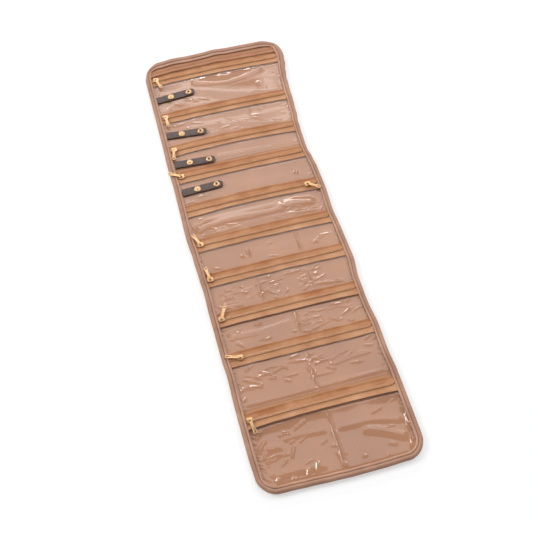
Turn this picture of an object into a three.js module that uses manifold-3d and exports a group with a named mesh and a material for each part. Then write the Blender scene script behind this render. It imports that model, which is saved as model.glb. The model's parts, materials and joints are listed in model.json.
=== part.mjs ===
// Jewelry roll, opened out flat with its ten zipped pockets facing up.
// Millimetres. X runs across the roll, Y along it towards the header, and Z points up.
// The origin is the middle of the underside, which lies on the table.
import * as THREE from 'three';
import { mergeVertices } from 'three/addons/utils/BufferGeometryUtils.js';
import Module from 'manifold-3d';

const wasm = await Module();
wasm.setup();

// Driving sizes of the mat: the padded cloth that carries everything
const ROLL_WIDTH = 238;
const ROLL_LENGTH = 805;
const CORNER_RADIUS = 28;
const HEADER_TO_FIRST_ZIP = 46;
const ZIP_SPACINGS = [88, 72, 57, 68, 67.5, 64.5, 70, 66.5, 95];
const COVER_THICKNESS = 1.2;
const LINING_THICKNESS = 2.4;
const BINDING_WALL = 2.4;
const BINDING_ROLL_WIDTH = 6.6;
const BINDING_ROLL_RISE = 2.0;
const PIPING_WIDTH = 3.8;
const PIPING_RISE = 1.4;
const GROOVE_WEB = 0.5;
const FIT = 0.3;

// Folds, each in the strip of bare cloth beside the tape of one zip
const FOLDS = [
  { zip: 4, side: 1 },
  { zip: 6, side: -1 },
  { zip: 8, side: -1 },
  { zip: 10, side: 1 },
];
const FOLD_MARGIN = 2;
const FOLD_CUT = 0.4;

// Clear film windows, with the stitched dividers of the lower pockets
const FILM_THICKNESS = 0.4;
const FILM_CROWN = 1.0;
const FILM_TUCK = 4;
const FILM_SEAM = 1.5;
const FILM_FLAT = 1;
const DIVIDERS = { 6: [-33, 45], 7: [-33, 45], 8: [5.5], 9: [3], 10: [4.5] };

// Coil zips: two tapes with a bead of coil on each and a slit between them
const TAPE_WIDTH = 26;
const TAPE_THICKNESS = 0.6;
const TAPE_RAMP = 2;
const COIL_WIDTH = 2.2;
const COIL_HEIGHT = 1.4;
const SLIT_WIDTH = 1.2;
const SLIT_END_MARGIN = 4.5;

// Sliders and their dog-bone pulls
const SLIDER_LENGTH = 9.6;
const SLIDER_TAIL_WIDTH = 7.4;
const SLIDER_FLANGE = 1.0;
const SLIDER_LOWER_PLATE = 0.8;
const SLIDER_UPPER_PLATE = 0.9;
const POST_LENGTH = 3;
const BAIL_WIDTH = 1.4;
const BAIL_THICKNESS = 0.8;
const PULL_LENGTH = 22;
const PULL_THICKNESS = 1.0;
const PULL_EYE_BAR = 1.1;
const PULL_RIM = 1.3;
const PULL_WAIST = 4.2;
const PULL_TIP_WIDTH = 6.0;
const PULL_TIP_HOLE = 2.8;

// The end of its zip that each slider is drawn up to (-1 left, 1 right), how far short of it the slider
// stands, and which way its pull lies, in degrees from +X
const RUNNERS = [
  { end: -1, short: 2.3, turn: -75 },
  { end: -1, short: 1, turn: -87 },
  { end: -1, short: 0, turn: -102 },
  { end: -1, short: 0, turn: 152 },
  { end: 1, short: 11.3, turn: -36 },
  { end: -1, short: 0, turn: 113 },
  { end: -1, short: 0, turn: 97 },
  { end: -1, short: 0, turn: 63 },
  { end: -1, short: 11.3, turn: 163 },
  { end: -1, short: 0, turn: -80 },
];

// Snap straps over the first four pockets, each below its zip and slightly askew
const STRAPS = [
  { belowZip: 46.2, turn: 5.3 },
  { belowZip: 38.5, turn: -5 },
  { belowZip: 30, turn: -3 },
  { belowZip: 31.3, turn: 2.5 },
];
const STRAP_LENGTH = 68;
const STRAP_WIDTH = 13;
const STRAP_THICKNESS = 1.4;
const STUD_PLACE = 25.5;
const SOCKET_PLACE = 57.5;
const STRAP_CUT = 0.4;
const SNAP_RADIUS = 5.2;
const STUD_DISC = 0.6;
const STUD_KNOB_RADIUS = 1.7;
const STUD_KNOB_HEIGHT = 1.3;
const SOCKET_HEIGHT = 1.2;
const SOCKET_FIT = 0.4;

// Counts of facets
const CORNER_STEPS = 6;
const ROLL_STEPS = 8;
const BEAD_STEPS = 6;
const DOME_COLUMNS = 6;
const DOME_ROWS = 5;
const SNAP_SIDES = 14;
const ARC_STEPS = 6;

// How deep one solid runs into the next where two are joined into one
const JOIN = 0.2;
const MERGE_DISTANCE = 1e-4;

// Heights, stacked up from the table
const liningLow = COVER_THICKNESS + FIT;
const liningHigh = liningLow + LINING_THICKNESS;
const filmLow = liningHigh + FIT;
const filmHigh = filmLow + FILM_THICKNESS;
const tapeLow = filmHigh + FIT;
const tapeHigh = tapeLow + TAPE_THICKNESS;
const lowerPlateLow = liningHigh + FIT;
const lowerPlateHigh = lowerPlateLow + SLIDER_LOWER_PLATE;
const chainLow = Math.max(tapeLow, lowerPlateHigh + FIT);
const chainHigh = chainLow + TAPE_THICKNESS;
const coilTop = chainHigh + COIL_HEIGHT;
const upperPlateLow = coilTop + FIT;
const upperPlateHigh = upperPlateLow + SLIDER_UPPER_PLATE;
const pullAxis = upperPlateHigh + FIT + Math.hypot(PULL_EYE_BAR, PULL_THICKNESS) / 2;
const lipLow = chainHigh + FIT;
const grooveHeight = lipLow + GROOVE_WEB;
const pipingTop = lipLow + PIPING_RISE;
const rollTop = lipLow + BINDING_ROLL_RISE;
const strapLow = filmHigh + FILM_CROWN + FIT;
const strapHigh = strapLow + STRAP_THICKNESS;

// Places across and along the mat
const halfWidth = ROLL_WIDTH / 2;
const bindingWidth = BINDING_ROLL_WIDTH + PIPING_WIDTH;
const innerHalf = halfWidth - bindingWidth;
const headerEdge = ROLL_LENGTH / 2;
const hemEdge = -ROLL_LENGTH / 2;
const zipPlaces = [headerEdge - HEADER_TO_FIRST_ZIP];
for (const spacing of ZIP_SPACINGS) zipPlaces.push(zipPlaces.at(-1) - spacing);
const foldPlaces = FOLDS.map(({ zip, side }) => zipPlaces[zip - 1] + side * (TAPE_WIDTH / 2 + FOLD_MARGIN));
const panelEdges = [headerEdge + FOLD_CUT, ...foldPlaces, hemEdge - FOLD_CUT];
const slitEnd = innerHalf - SLIT_END_MARGIN;
const sliderReach = slitEnd - FIT - POST_LENGTH / 2;

// Materials
const finish = (color, roughness, metalness = 0) => new THREE.MeshStandardMaterial({ color, roughness, metalness });
const coverCloth = finish(0xa9806a, 0.8);
const liningCloth = finish(0xb8917c, 0.7);
const zipTape = finish(0xb97b4f, 0.75);
const clearFilm = new THREE.MeshStandardMaterial({
  color: 0xe6d2c6, roughness: 0.12, metalness: 0, transparent: true, opacity: 0.35,
});
const brass = finish(0xd9b26a, 0.3, 1);
const strapLeather = finish(0x5d4f4a, 0.6);

// Closed geometry to a solid that can be joined and cut, and back again
function toSolid(geometry) {
  const bare = geometry.clone();
  bare.deleteAttribute('normal');
  bare.deleteAttribute('uv');
  const merged = mergeVertices(bare, MERGE_DISTANCE);
  const corners = merged.index.array;
  const triangles = [];
  for (let i = 0; i < corners.length; i += 3) {
    const [a, b, c] = [corners[i], corners[i + 1], corners[i + 2]];
    if (a !== b && b !== c && c !== a) triangles.push(a, b, c);
  }
  return new wasm.Manifold(new wasm.Mesh({
    numProp: 3,
    vertProperties: new Float32Array(merged.attributes.position.array),
    triVerts: new Uint32Array(triangles),
  }));
}

function toGeometry(solid) {
  const { vertProperties, triVerts } = solid.getMesh();
  const geometry = new THREE.BufferGeometry();
  geometry.setAttribute('position', new THREE.BufferAttribute(vertProperties, 3));
  geometry.setIndex(new THREE.BufferAttribute(triVerts, 1));
  geometry.computeVertexNormals();
  return geometry;
}

const join = (...geometries) => geometries.map(toSolid).reduce((whole, solid) => whole.add(solid));

function piece(name, geometry, material) {
  const mesh = new THREE.Mesh(geometry, material);
  mesh.name = name;
  return mesh;
}

// A flat plate of one outline between two heights
function plate(outline, low, high, curveSegments = ARC_STEPS) {
  const geometry = new THREE.ExtrudeGeometry(outline, { depth: high - low, bevelEnabled: false, curveSegments });
  return geometry.translate(0, 0, low);
}

function block(lowX, highX, lowY, highY, lowZ, highZ) {
  const geometry = new THREE.BoxGeometry(highX - lowX, highY - lowY, highZ - lowZ);
  return geometry.translate((lowX + highX) / 2, (lowY + highY) / 2, (lowZ + highZ) / 2);
}

// A section drawn across a zip (v, z), run along X between two ends
function runAcross(section, lowX, highX) {
  const geometry = new THREE.ExtrudeGeometry(section, { depth: highX - lowX, bevelEnabled: false });
  const turn = new THREE.Matrix4().makeBasis(
    new THREE.Vector3(0, 1, 0),
    new THREE.Vector3(0, 0, 1),
    new THREE.Vector3(1, 0, 0),
  );
  return geometry.applyMatrix4(turn).translate(lowX, 0, 0);
}

// Outline of the mat, drawn in from its edge by an inset
function matOutline(inset) {
  const radius = CORNER_RADIUS - inset;
  const x = halfWidth - CORNER_RADIUS;
  const top = headerEdge - CORNER_RADIUS;
  const bottom = hemEdge + CORNER_RADIUS;
  const outline = new THREE.Shape();
  outline.absarc(x, top, radius, 0, Math.PI / 2);
  outline.absarc(-x, top, radius, Math.PI / 2, Math.PI);
  outline.absarc(-x, bottom, radius, Math.PI, Math.PI * 1.5);
  outline.absarc(x, bottom, radius, Math.PI * 1.5, Math.PI * 2);
  outline.closePath();
  return outline;
}

// Section of the bound edge as (inset from the edge, height): the rolled binding, the stitched groove,
// the piping beside it, and below them the wall and the turned-in base
function bindingSection() {
  const section = [];
  const half = BINDING_ROLL_WIDTH / 2;
  for (let i = 0; i <= ROLL_STEPS; i += 1) {
    const t = -Math.PI / 2 + (Math.PI * i) / ROLL_STEPS;
    section.push([half - half * Math.cos(t), (rollTop / 2) * (1 + Math.sin(t))]);
  }
  for (let i = 1; i <= BEAD_STEPS / 2; i += 1) {
    const t = ((Math.PI / 2) * i) / (BEAD_STEPS / 2);
    section.push([half + half * Math.sin(t), grooveHeight + (rollTop - grooveHeight) * Math.cos(t)]);
  }
  for (let i = 1; i <= BEAD_STEPS; i += 1) {
    const t = (Math.PI * i) / BEAD_STEPS;
    const inset = BINDING_ROLL_WIDTH + (PIPING_WIDTH / 2) * (1 - Math.cos(t));
    section.push([inset, grooveHeight + (pipingTop - grooveHeight) * Math.sin(t)]);
  }
  const baseInset = bindingWidth + BINDING_WALL;
  section.push([bindingWidth, lipLow], [BINDING_WALL, lipLow], [BINDING_WALL, COVER_THICKNESS]);
  section.push([baseInset, COVER_THICKNESS], [baseInset, 0]);
  return section;
}

// The bound edge: that section carried round the four corners of the mat
function bindingRing() {
  const section = bindingSection();
  const positions = [];
  const indices = [];
  const stations = 4 * (CORNER_STEPS + 1);
  for (let corner = 0; corner < 4; corner += 1) {
    const signX = corner === 0 || corner === 3 ? 1 : -1;
    const centreX = signX * (halfWidth - CORNER_RADIUS);
    const centreY = corner < 2 ? headerEdge - CORNER_RADIUS : hemEdge + CORNER_RADIUS;
    for (let step = 0; step <= CORNER_STEPS; step += 1) {
      const angle = (Math.PI / 2) * (corner + step / CORNER_STEPS);
      for (const [inset, height] of section) {
        const reach = CORNER_RADIUS - inset;
        positions.push(centreX + reach * Math.cos(angle), centreY + reach * Math.sin(angle), height);
      }
    }
  }
  const count = section.length;
  for (let station = 0; station < stations; station += 1) {
    const here = station * count;
    const next = ((station + 1) % stations) * count;
    for (let i = 0; i < count; i += 1) {
      const j = (i + 1) % count;
      indices.push(here + i, next + i, here + j, next + i, next + j, here + j);
    }
  }
  const geometry = new THREE.BufferGeometry();
  geometry.setAttribute('position', new THREE.Float32BufferAttribute(positions, 3));
  geometry.setIndex(indices);
  return geometry;
}

// Cover and lining are cut whole and parted at the folds, into one panel after another
function partedAtFolds(whole, panel) {
  const high = panelEdges[panel] - FOLD_CUT / 2;
  const low = panelEdges[panel + 1] + FOLD_CUT / 2;
  const slab = block(-ROLL_WIDTH, ROLL_WIDTH, low, high, -rollTop, 2 * rollTop);
  return toGeometry(whole.intersect(toSolid(slab)));
}

// A film window: flat where it is sewn in, and slightly crowned between its seams and dividers
function filmWindow(low, high, dividers) {
  const outer = innerHalf + FILM_TUCK;
  const domeHalf = innerHalf - FILM_FLAT;
  const bays = [-domeHalf, ...dividers, domeHalf];
  const columns = [-outer];
  for (let bay = 0; bay < bays.length - 1; bay += 1) {
    const width = bays[bay + 1] - bays[bay];
    for (let i = 0; i < DOME_COLUMNS; i += 1) columns.push(bays[bay] + (width * i) / DOME_COLUMNS);
  }
  columns.push(domeHalf, outer);
  const domeLow = low + FILM_TUCK + FILM_FLAT;
  const domeHigh = high - FILM_TUCK - FILM_FLAT;
  const rows = [low];
  for (let i = 0; i <= DOME_ROWS; i += 1) rows.push(domeLow + ((domeHigh - domeLow) * i) / DOME_ROWS);
  rows.push(high);
  const swell = (value, from, to) => Math.max(0, 1 - ((2 * (value - from)) / (to - from) - 1) ** 4);
  const crown = (x, y) => {
    const bay = bays.findIndex((edge, i) => i + 1 < bays.length && x >= edge && x <= bays[i + 1]);
    if (bay < 0 || y <= domeLow || y >= domeHigh) return 0;
    return FILM_CROWN * swell(x, bays[bay], bays[bay + 1]) * swell(y, domeLow, domeHigh);
  };
  const positions = [];
  for (const side of [filmHigh, filmLow]) {
    for (const y of rows) for (const x of columns) positions.push(x, y, side + crown(x, y));
  }
  return closedSheet(positions, columns.length, rows.length);
}

// Two grids of points, upper then lower, closed into one thin body
function closedSheet(positions, columnCount, rowCount) {
  const indices = [];
  const lower = columnCount * rowCount;
  const quad = (a, b, c, d) => indices.push(a, b, c, a, c, d);
  for (let row = 0; row < rowCount - 1; row += 1) {
    for (let column = 0; column < columnCount - 1; column += 1) {
      const a = row * columnCount + column;
      quad(a, a + 1, a + columnCount + 1, a + columnCount);
      quad(lower + a, lower + a + columnCount, lower + a + columnCount + 1, lower + a + 1);
    }
  }
  const rim = [];
  for (let column = 0; column < columnCount - 1; column += 1) rim.push(column);
  for (let row = 0; row < rowCount - 1; row += 1) rim.push(row * columnCount + columnCount - 1);
  for (let column = columnCount - 1; column > 0; column -= 1) rim.push((rowCount - 1) * columnCount + column);
  for (let row = rowCount - 1; row > 0; row -= 1) rim.push(row * columnCount);
  rim.forEach((here, i) => {
    const next = rim[(i + 1) % rim.length];
    quad(next, here, lower + here, lower + next);
  });
  const geometry = new THREE.BufferGeometry();
  geometry.setAttribute('position', new THREE.Float32BufferAttribute(positions, 3));
  geometry.setIndex(indices);
  return geometry;
}

// Top and bottom edge of a pocket's window: under the tape of a zip, or sewn down beside a fold
function windowEdges(pocket) {
  const underTape = TAPE_WIDTH / 2 - FILM_TUCK;
  const below = FOLDS.findIndex(({ zip, side }) => zip === pocket && side < 0);
  const above = FOLDS.findIndex(({ zip, side }) => zip === pocket + 1 && side > 0);
  const high = below < 0 ? zipPlaces[pocket - 1] - underTape : foldPlaces[below] - FILM_SEAM;
  if (pocket === zipPlaces.length) return [hemEdge + bindingWidth - FILM_TUCK, high];
  const low = above < 0 ? zipPlaces[pocket] + underTape : foldPlaces[above] + FILM_SEAM;
  return [low, high];
}

function windowGeometry(pocket) {
  const [low, high] = windowEdges(pocket);
  const film = filmWindow(low, high, DIVIDERS[pocket] ?? []);
  if (pocket < zipPlaces.length) return film;
  const outline = matOutline(bindingWidth - FILM_TUCK);
  return toGeometry(toSolid(film).intersect(toSolid(plate(outline, 0, 2 * rollTop))));
}

// One zip, drawn at Y 0: tapes sewn flat at their outer edges and lifted in the middle for the slider
function zipGeometry() {
  const half = TAPE_WIDTH / 2;
  const coilIn = SLIT_WIDTH / 2;
  const coilOut = coilIn + COIL_WIDTH;
  const chainHalf = coilOut + FIT + SLIDER_FLANGE + FIT;
  const ramp = chainHalf + TAPE_RAMP;
  const tape = new THREE.Shape([
    [-half, tapeLow], [-ramp, tapeLow], [-chainHalf, chainLow], [chainHalf, chainLow],
    [ramp, tapeLow], [half, tapeLow], [half, tapeHigh], [ramp, tapeHigh],
    [chainHalf, chainHigh], [-chainHalf, chainHigh], [-ramp, tapeHigh], [-half, tapeHigh],
  ].map(([v, z]) => new THREE.Vector2(v, z)));
  const tapeEnd = innerHalf + FILM_TUCK;
  let zip = toSolid(runAcross(tape, -tapeEnd, tapeEnd));
  const coilEnd = innerHalf - FIT;
  for (const side of [-1, 1]) {
    const bead = new THREE.Shape();
    bead.moveTo(side * coilIn, chainHigh - JOIN);
    for (let i = 0; i <= BEAD_STEPS; i += 1) {
      const t = (Math.PI * i) / BEAD_STEPS;
      const v = coilIn + (COIL_WIDTH / 2) * (1 - Math.cos(t));
      bead.lineTo(side * v, chainHigh + COIL_HEIGHT * Math.sin(t));
    }
    bead.lineTo(side * coilOut, chainHigh - JOIN);
    bead.closePath();
    zip = zip.add(toSolid(runAcross(bead, -coilEnd, coilEnd)));
  }
  const slit = block(-slitEnd, slitEnd, -coilIn, coilIn, 0, 2 * coilTop);
  return toGeometry(zip.subtract(toSolid(slit)));
}

// Outline of a slider's plates: broad shoulders at the mouth and a narrower tail
function sliderOutline() {
  const half = SLIDER_LENGTH / 2;
  const shoulder = SLIT_WIDTH / 2 + COIL_WIDTH + FIT + SLIDER_FLANGE;
  const tail = SLIDER_TAIL_WIDTH / 2;
  const outline = new THREE.Shape();
  outline.moveTo(half - tail / 2, -tail);
  outline.quadraticCurveTo(half, -tail, half, -tail / 2);
  outline.lineTo(half, tail / 2);
  outline.quadraticCurveTo(half, tail, half - tail / 2, tail);
  outline.lineTo(-half / 4, shoulder);
  outline.quadraticCurveTo(-half, shoulder, -half, shoulder / 2);
  outline.lineTo(-half * 0.9, 0);
  outline.lineTo(-half, -shoulder / 2);
  outline.quadraticCurveTo(-half, -shoulder, -half / 4, -shoulder);
  outline.closePath();
  return outline;
}

// The bail: a small arch on the upper plate, standing in line with the pull that hangs on it
function bailGeometry(turn) {
  const inner = Math.hypot(PULL_EYE_BAR, PULL_THICKNESS) / 2 + FIT;
  const outer = inner + BAIL_THICKNESS;
  const foot = upperPlateHigh - JOIN;
  const arch = new THREE.Shape();
  arch.moveTo(outer, foot);
  arch.lineTo(outer, pullAxis);
  arch.absarc(0, pullAxis, outer, 0, Math.PI);
  arch.lineTo(-outer, foot);
  arch.lineTo(-inner, foot);
  arch.lineTo(-inner, pullAxis);
  arch.absarc(0, pullAxis, inner, Math.PI, 0, true);
  arch.lineTo(inner, foot);
  arch.closePath();
  const options = { depth: BAIL_WIDTH, bevelEnabled: false, curveSegments: ARC_STEPS };
  const geometry = new THREE.ExtrudeGeometry(arch, options).translate(0, 0, -BAIL_WIDTH / 2);
  return geometry.rotateX(Math.PI / 2).rotateZ(turn);
}

// A slider: upper plate with two side flanges, lower plate, the post through the slit, and the bail
function sliderGeometry(turn) {
  const outline = sliderOutline();
  const channel = SLIT_WIDTH / 2 + COIL_WIDTH + FIT;
  const post = SLIT_WIDTH / 2 - FIT;
  const crown = toSolid(plate(outline, chainHigh + FIT, upperPlateHigh, 3));
  const coilRoom = block(-SLIDER_LENGTH, SLIDER_LENGTH, -channel, channel, 0, upperPlateLow);
  const lower = plate(outline, lowerPlateLow, lowerPlateHigh, 3);
  const middle = block(
    -POST_LENGTH / 2, POST_LENGTH / 2, -post, post, lowerPlateLow + JOIN, upperPlateHigh - JOIN,
  );
  const slider = crown.subtract(toSolid(coilRoom)).add(join(lower, middle, bailGeometry(turn)));
  return toGeometry(slider);
}

// A pull: a flat dog-bone tab with an eye for the bail at one end and a round hole at the other
function pullGeometry() {
  const bailReach = Math.hypot(PULL_EYE_BAR, PULL_THICKNESS) / 2 + FIT + BAIL_THICKNESS;
  const eyeNear = PULL_EYE_BAR / 2;
  const eyeFar = bailReach + FIT;
  const eyeHalf = BAIL_WIDTH / 2 + FIT;
  const head = eyeHalf + PULL_RIM;
  const waist = PULL_WAIST / 2;
  const tip = PULL_TIP_WIDTH / 2;
  const neck = eyeFar + PULL_RIM;
  const tipCentre = PULL_LENGTH - tip;
  const middle = (neck + tipCentre) / 2;
  const tab = new THREE.Shape();
  tab.moveTo(-eyeNear, -eyeHalf / 2);
  tab.quadraticCurveTo(-eyeNear, -head, eyeNear, -head);
  tab.lineTo(eyeFar, -head);
  tab.bezierCurveTo(neck, -head, neck, -waist, middle, -waist);
  tab.bezierCurveTo(tipCentre - tip, -waist, tipCentre - tip, -tip, tipCentre, -tip);
  for (let i = 1; i < SNAP_SIDES / 2; i += 1) {
    const t = -Math.PI / 2 + (2 * Math.PI * i) / SNAP_SIDES;
    tab.lineTo(tipCentre + tip * Math.cos(t), tip * Math.sin(t));
  }
  tab.lineTo(tipCentre, tip);
  tab.bezierCurveTo(tipCentre - tip, tip, tipCentre - tip, waist, middle, waist);
  tab.bezierCurveTo(neck, waist, neck, head, eyeFar, head);
  tab.lineTo(eyeNear, head);
  tab.quadraticCurveTo(-eyeNear, head, -eyeNear, eyeHalf / 2);
  tab.closePath();
  const eye = new THREE.Path();
  eye.moveTo(eyeNear, -eyeHalf);
  eye.lineTo(eyeNear, eyeHalf);
  eye.lineTo(eyeFar, eyeHalf);
  eye.lineTo(eyeFar, -eyeHalf);
  eye.closePath();
  const rim = [];
  for (let i = 0; i < SNAP_SIDES; i += 1) {
    const t = (2 * Math.PI * i) / SNAP_SIDES;
    const reach = PULL_TIP_HOLE / 2;
    rim.push(new THREE.Vector2(tipCentre + reach * Math.cos(t), -reach * Math.sin(t)));
  }
  tab.holes.push(eye, new THREE.Path(rim));
  return plate(tab, pullAxis - PULL_THICKNESS / 2, pullAxis + PULL_THICKNESS / 2, 5);
}

// A turned piece of a snap, from its profile of (radius, height)
function turned(profile, place) {
  const points = profile.map(([radius, height]) => new THREE.Vector2(radius, height));
  return new THREE.LatheGeometry(points, SNAP_SIDES).rotateX(Math.PI / 2).translate(place, 0, strapHigh);
}

const strapFold = (STUD_PLACE + SOCKET_PLACE) / 2;

// The sewn half of a strap, with the stud of its snap riveted through it
function strapGeometry() {
  const half = STRAP_WIDTH / 2;
  const leather = block(0, strapFold - STRAP_CUT / 2, -half, half, strapLow, strapHigh);
  const knobTop = STUD_DISC + STUD_KNOB_HEIGHT;
  const neck = STUD_KNOB_RADIUS * 0.85;
  const stud = turned([
    [0, -JOIN], [SNAP_RADIUS, -JOIN], [SNAP_RADIUS, STUD_DISC / 2], [SNAP_RADIUS - STUD_DISC, STUD_DISC],
    [neck, STUD_DISC], [neck, STUD_DISC + STUD_KNOB_HEIGHT / 2],
    [STUD_KNOB_RADIUS, STUD_DISC + STUD_KNOB_HEIGHT * 0.7], [neck, knobTop], [0, knobTop],
  ], STUD_PLACE);
  return toGeometry(join(leather, stud));
}

// The free half of a strap, rounded at its end, with the ring that snaps over the stud
function strapFlapGeometry() {
  const half = STRAP_WIDTH / 2;
  const start = strapFold + STRAP_CUT / 2;
  const outline = new THREE.Shape();
  outline.moveTo(start, -half);
  outline.lineTo(STRAP_LENGTH - half, -half);
  outline.absarc(STRAP_LENGTH - half, 0, half, -Math.PI / 2, Math.PI / 2);
  outline.lineTo(start, half);
  outline.closePath();
  const bore = STUD_KNOB_RADIUS + SOCKET_FIT;
  const ring = turned([
    [bore, -JOIN], [SNAP_RADIUS, -JOIN], [SNAP_RADIUS, SOCKET_HEIGHT / 2],
    [(SNAP_RADIUS + bore) / 2, SOCKET_HEIGHT], [bore, SOCKET_HEIGHT / 2], [bore, -JOIN],
  ], SOCKET_PLACE);
  return toGeometry(join(plate(outline, strapLow, strapHigh), ring));
}

// Panels: each has its stretch of cover and of lining, in order from the header to the hem
const roll = new THREE.Group();
const coverBase = plate(matOutline(bindingWidth), 0, COVER_THICKNESS);
const wholeCover = join(bindingRing(), coverBase);
const wholeLining = toSolid(plate(matOutline(BINDING_WALL + FIT), liningLow, liningHigh));
for (let panel = 0; panel <= FOLDS.length; panel += 1) {
  roll.add(piece(`cover_${panel + 1}`, partedAtFolds(wholeCover, panel), coverCloth));
  roll.add(piece(`lining_${panel + 1}`, partedAtFolds(wholeLining, panel), liningCloth));
}

// Pockets: window, zip, and the slider with its pull where they stand on the zip
RUNNERS.forEach(({ end, short, turn }, i) => {
  const angle = THREE.MathUtils.degToRad(turn);
  roll.add(piece(`window_${i + 1}`, windowGeometry(i + 1), clearFilm));
  const zip = piece(`zip_${i + 1}`, zipGeometry(), zipTape);
  zip.position.y = zipPlaces[i];
  const runner = new THREE.Group();
  runner.position.set(end * (sliderReach - short), zipPlaces[i], 0);
  const pull = piece(`pull_${i + 1}`, pullGeometry(), brass);
  pull.rotation.z = angle;
  runner.add(piece(`slider_${i + 1}`, sliderGeometry(angle), brass), pull);
  roll.add(zip, runner);
});

// Straps: each springs from the left binding below its zip
STRAPS.forEach(({ belowZip, turn }, i) => {
  const angle = THREE.MathUtils.degToRad(turn);
  const cornerRoom = (STRAP_WIDTH / 2) * Math.abs(Math.sin(angle));
  const strap = new THREE.Group();
  strap.position.set(-innerHalf + FIT + cornerRoom, zipPlaces[i] - belowZip, 0);
  strap.rotation.z = angle;
  strap.add(piece(`strap_${i + 1}`, strapGeometry(), strapLeather));
  strap.add(piece(`strap_flap_${i + 1}`, strapFlapGeometry(), strapLeather));
  roll.add(strap);
});

export default roll;
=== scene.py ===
import json
import math
import random

import bpy
from mathutils import Matrix, Vector, noise

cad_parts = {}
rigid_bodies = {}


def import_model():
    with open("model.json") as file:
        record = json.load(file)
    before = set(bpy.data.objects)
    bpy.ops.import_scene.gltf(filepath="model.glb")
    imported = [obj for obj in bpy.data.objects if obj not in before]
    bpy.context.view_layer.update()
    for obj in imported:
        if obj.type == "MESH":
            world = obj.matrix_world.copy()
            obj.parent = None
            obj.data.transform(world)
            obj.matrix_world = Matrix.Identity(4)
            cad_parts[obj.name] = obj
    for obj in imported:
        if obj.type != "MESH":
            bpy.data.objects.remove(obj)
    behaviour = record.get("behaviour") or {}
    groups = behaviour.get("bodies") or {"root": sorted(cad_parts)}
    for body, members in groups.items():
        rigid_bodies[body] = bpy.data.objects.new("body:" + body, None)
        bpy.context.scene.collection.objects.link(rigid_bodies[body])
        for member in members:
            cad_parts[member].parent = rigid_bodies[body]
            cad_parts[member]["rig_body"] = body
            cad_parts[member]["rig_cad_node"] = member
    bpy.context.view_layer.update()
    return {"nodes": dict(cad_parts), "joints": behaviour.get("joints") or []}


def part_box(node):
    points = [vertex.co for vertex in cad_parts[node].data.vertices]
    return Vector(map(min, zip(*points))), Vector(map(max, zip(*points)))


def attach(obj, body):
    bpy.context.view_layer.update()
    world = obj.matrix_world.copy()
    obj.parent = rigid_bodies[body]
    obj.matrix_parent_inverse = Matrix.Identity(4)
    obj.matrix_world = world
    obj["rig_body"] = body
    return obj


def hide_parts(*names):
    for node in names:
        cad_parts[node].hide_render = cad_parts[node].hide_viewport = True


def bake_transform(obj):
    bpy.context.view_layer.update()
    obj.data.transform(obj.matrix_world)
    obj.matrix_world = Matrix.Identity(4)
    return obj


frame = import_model()

# Cover and binding
# The outside of the roll is a matt brown polyester cloth. Its edge is turned over a soft filler and sewn
# down in a groove, with a narrow piping inside it. It is made in four lengths, each spanning one fold.
mm = 0.001
HALF_WIDTH = round(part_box("cover_1")[1].x / mm, 1)
HALF_LENGTH = round(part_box("cover_1")[1].y / mm, 1)
CORNER = 28.0
ROLL_WIDTH = 6.6
ROLL_TOP = 8.2
GROOVE = 6.7
PIPING_WIDTH = 3.8
PIPING_TOP = 7.6
PIPING_FOOT = 3.6
BINDING_FOOT = 0.3
HEADER_BROADER = 0.5
SLAB_TOP = 1.2
SLAB_INSET = 8.0
EDGE_STEP = 2.5
SLAB_STEP = 6.0
FOLD_STEP = 1.0
# The slab's marks lie far from those of the binding, whose groove and piping are coloured by them
SLAB_MARKS = (500.0, 900.0)

# The lengths end at zips 5, 7 and 9, and their rows lie closer over a short reach on either side of each fold
FOLD_LINES = [round(joint["pos_m"][1] / mm, 1) for joint in frame["joints"]
              if joint["name"].startswith("fold_")]
FOLD_REACH = 10.0


def middle(node):
    """Where the middle of a CAD node lies along the roll, in mm."""
    low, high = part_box(node)
    return round((low.y + high.y) / 2 / mm, 1)


ZIP_PLACES = [middle(f"zip_{number}") for number in range(1, 11)]
LENGTH_ENDS = [HALF_LENGTH, ZIP_PLACES[4], ZIP_PLACES[6], ZIP_PLACES[8], -HALF_LENGTH]
LENGTHS = [(f"panel_{k}", f"panel_{k + 1}", LENGTH_ENDS[k], LENGTH_ENDS[k - 1]) for k in range(1, 5)]

# How far each edge lies from straight at places along it, in mm: the zips and folds draw the sides in, and
# the free header spreads at its right corner
RIGHT_EDGE = [(-402, 0), (-357, 0.8), (-277, 1), (-237, -1), (-197, -0.5), (-157, -3.5), (-117, -3.5),
              (-77, 0.5), (-17, -1), (13, -3), (63, -1), (103, -1.8), (123, -3.8), (143, -6.6), (173, -6),
              (203, -4.5), (223, -1.5), (263, 1.5), (303, 4.2), (323, 7.5), (343, 12), (363, 14.5), (383, 13),
              (405, 10)]
LEFT_EDGE = [(-402, 4), (-377, 2.5), (-337, 1.2), (-277, 1.2), (-217, 2.5), (-197, 1.3), (-117, 1.2),
             (-77, 2), (-57, 1), (-17, -0.2), (23, -2.2), (83, -1), (123, -0.2), (163, -1), (223, 0.2),
             (283, 0.8), (323, 1.2), (363, 1.6), (383, 5), (405, 9)]
TOP_EDGE = [(-115, -6), (-90, -3), (-62, -0.3), (-32, -1.1), (-8, -0.2), (13, 1.8), (38, 0), (88, -0.3),
            (119, -1.5)]
HEM_EDGE = [(-119, 4), (-77, 2.9), (-47, 1.7), (-17, 0.4), (13, -0.6), (58, -0.6), (88, 0.4), (119, 1.5)]
# Towards the middle the pull of a side dies away as a power of the place across, and that of an end between
# two places along the roll
SIDE_POWER = 2.5
TOP_ZONE = (335.0, 390.0)
HEM_ZONE = (-345.0, -390.0)

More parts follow.
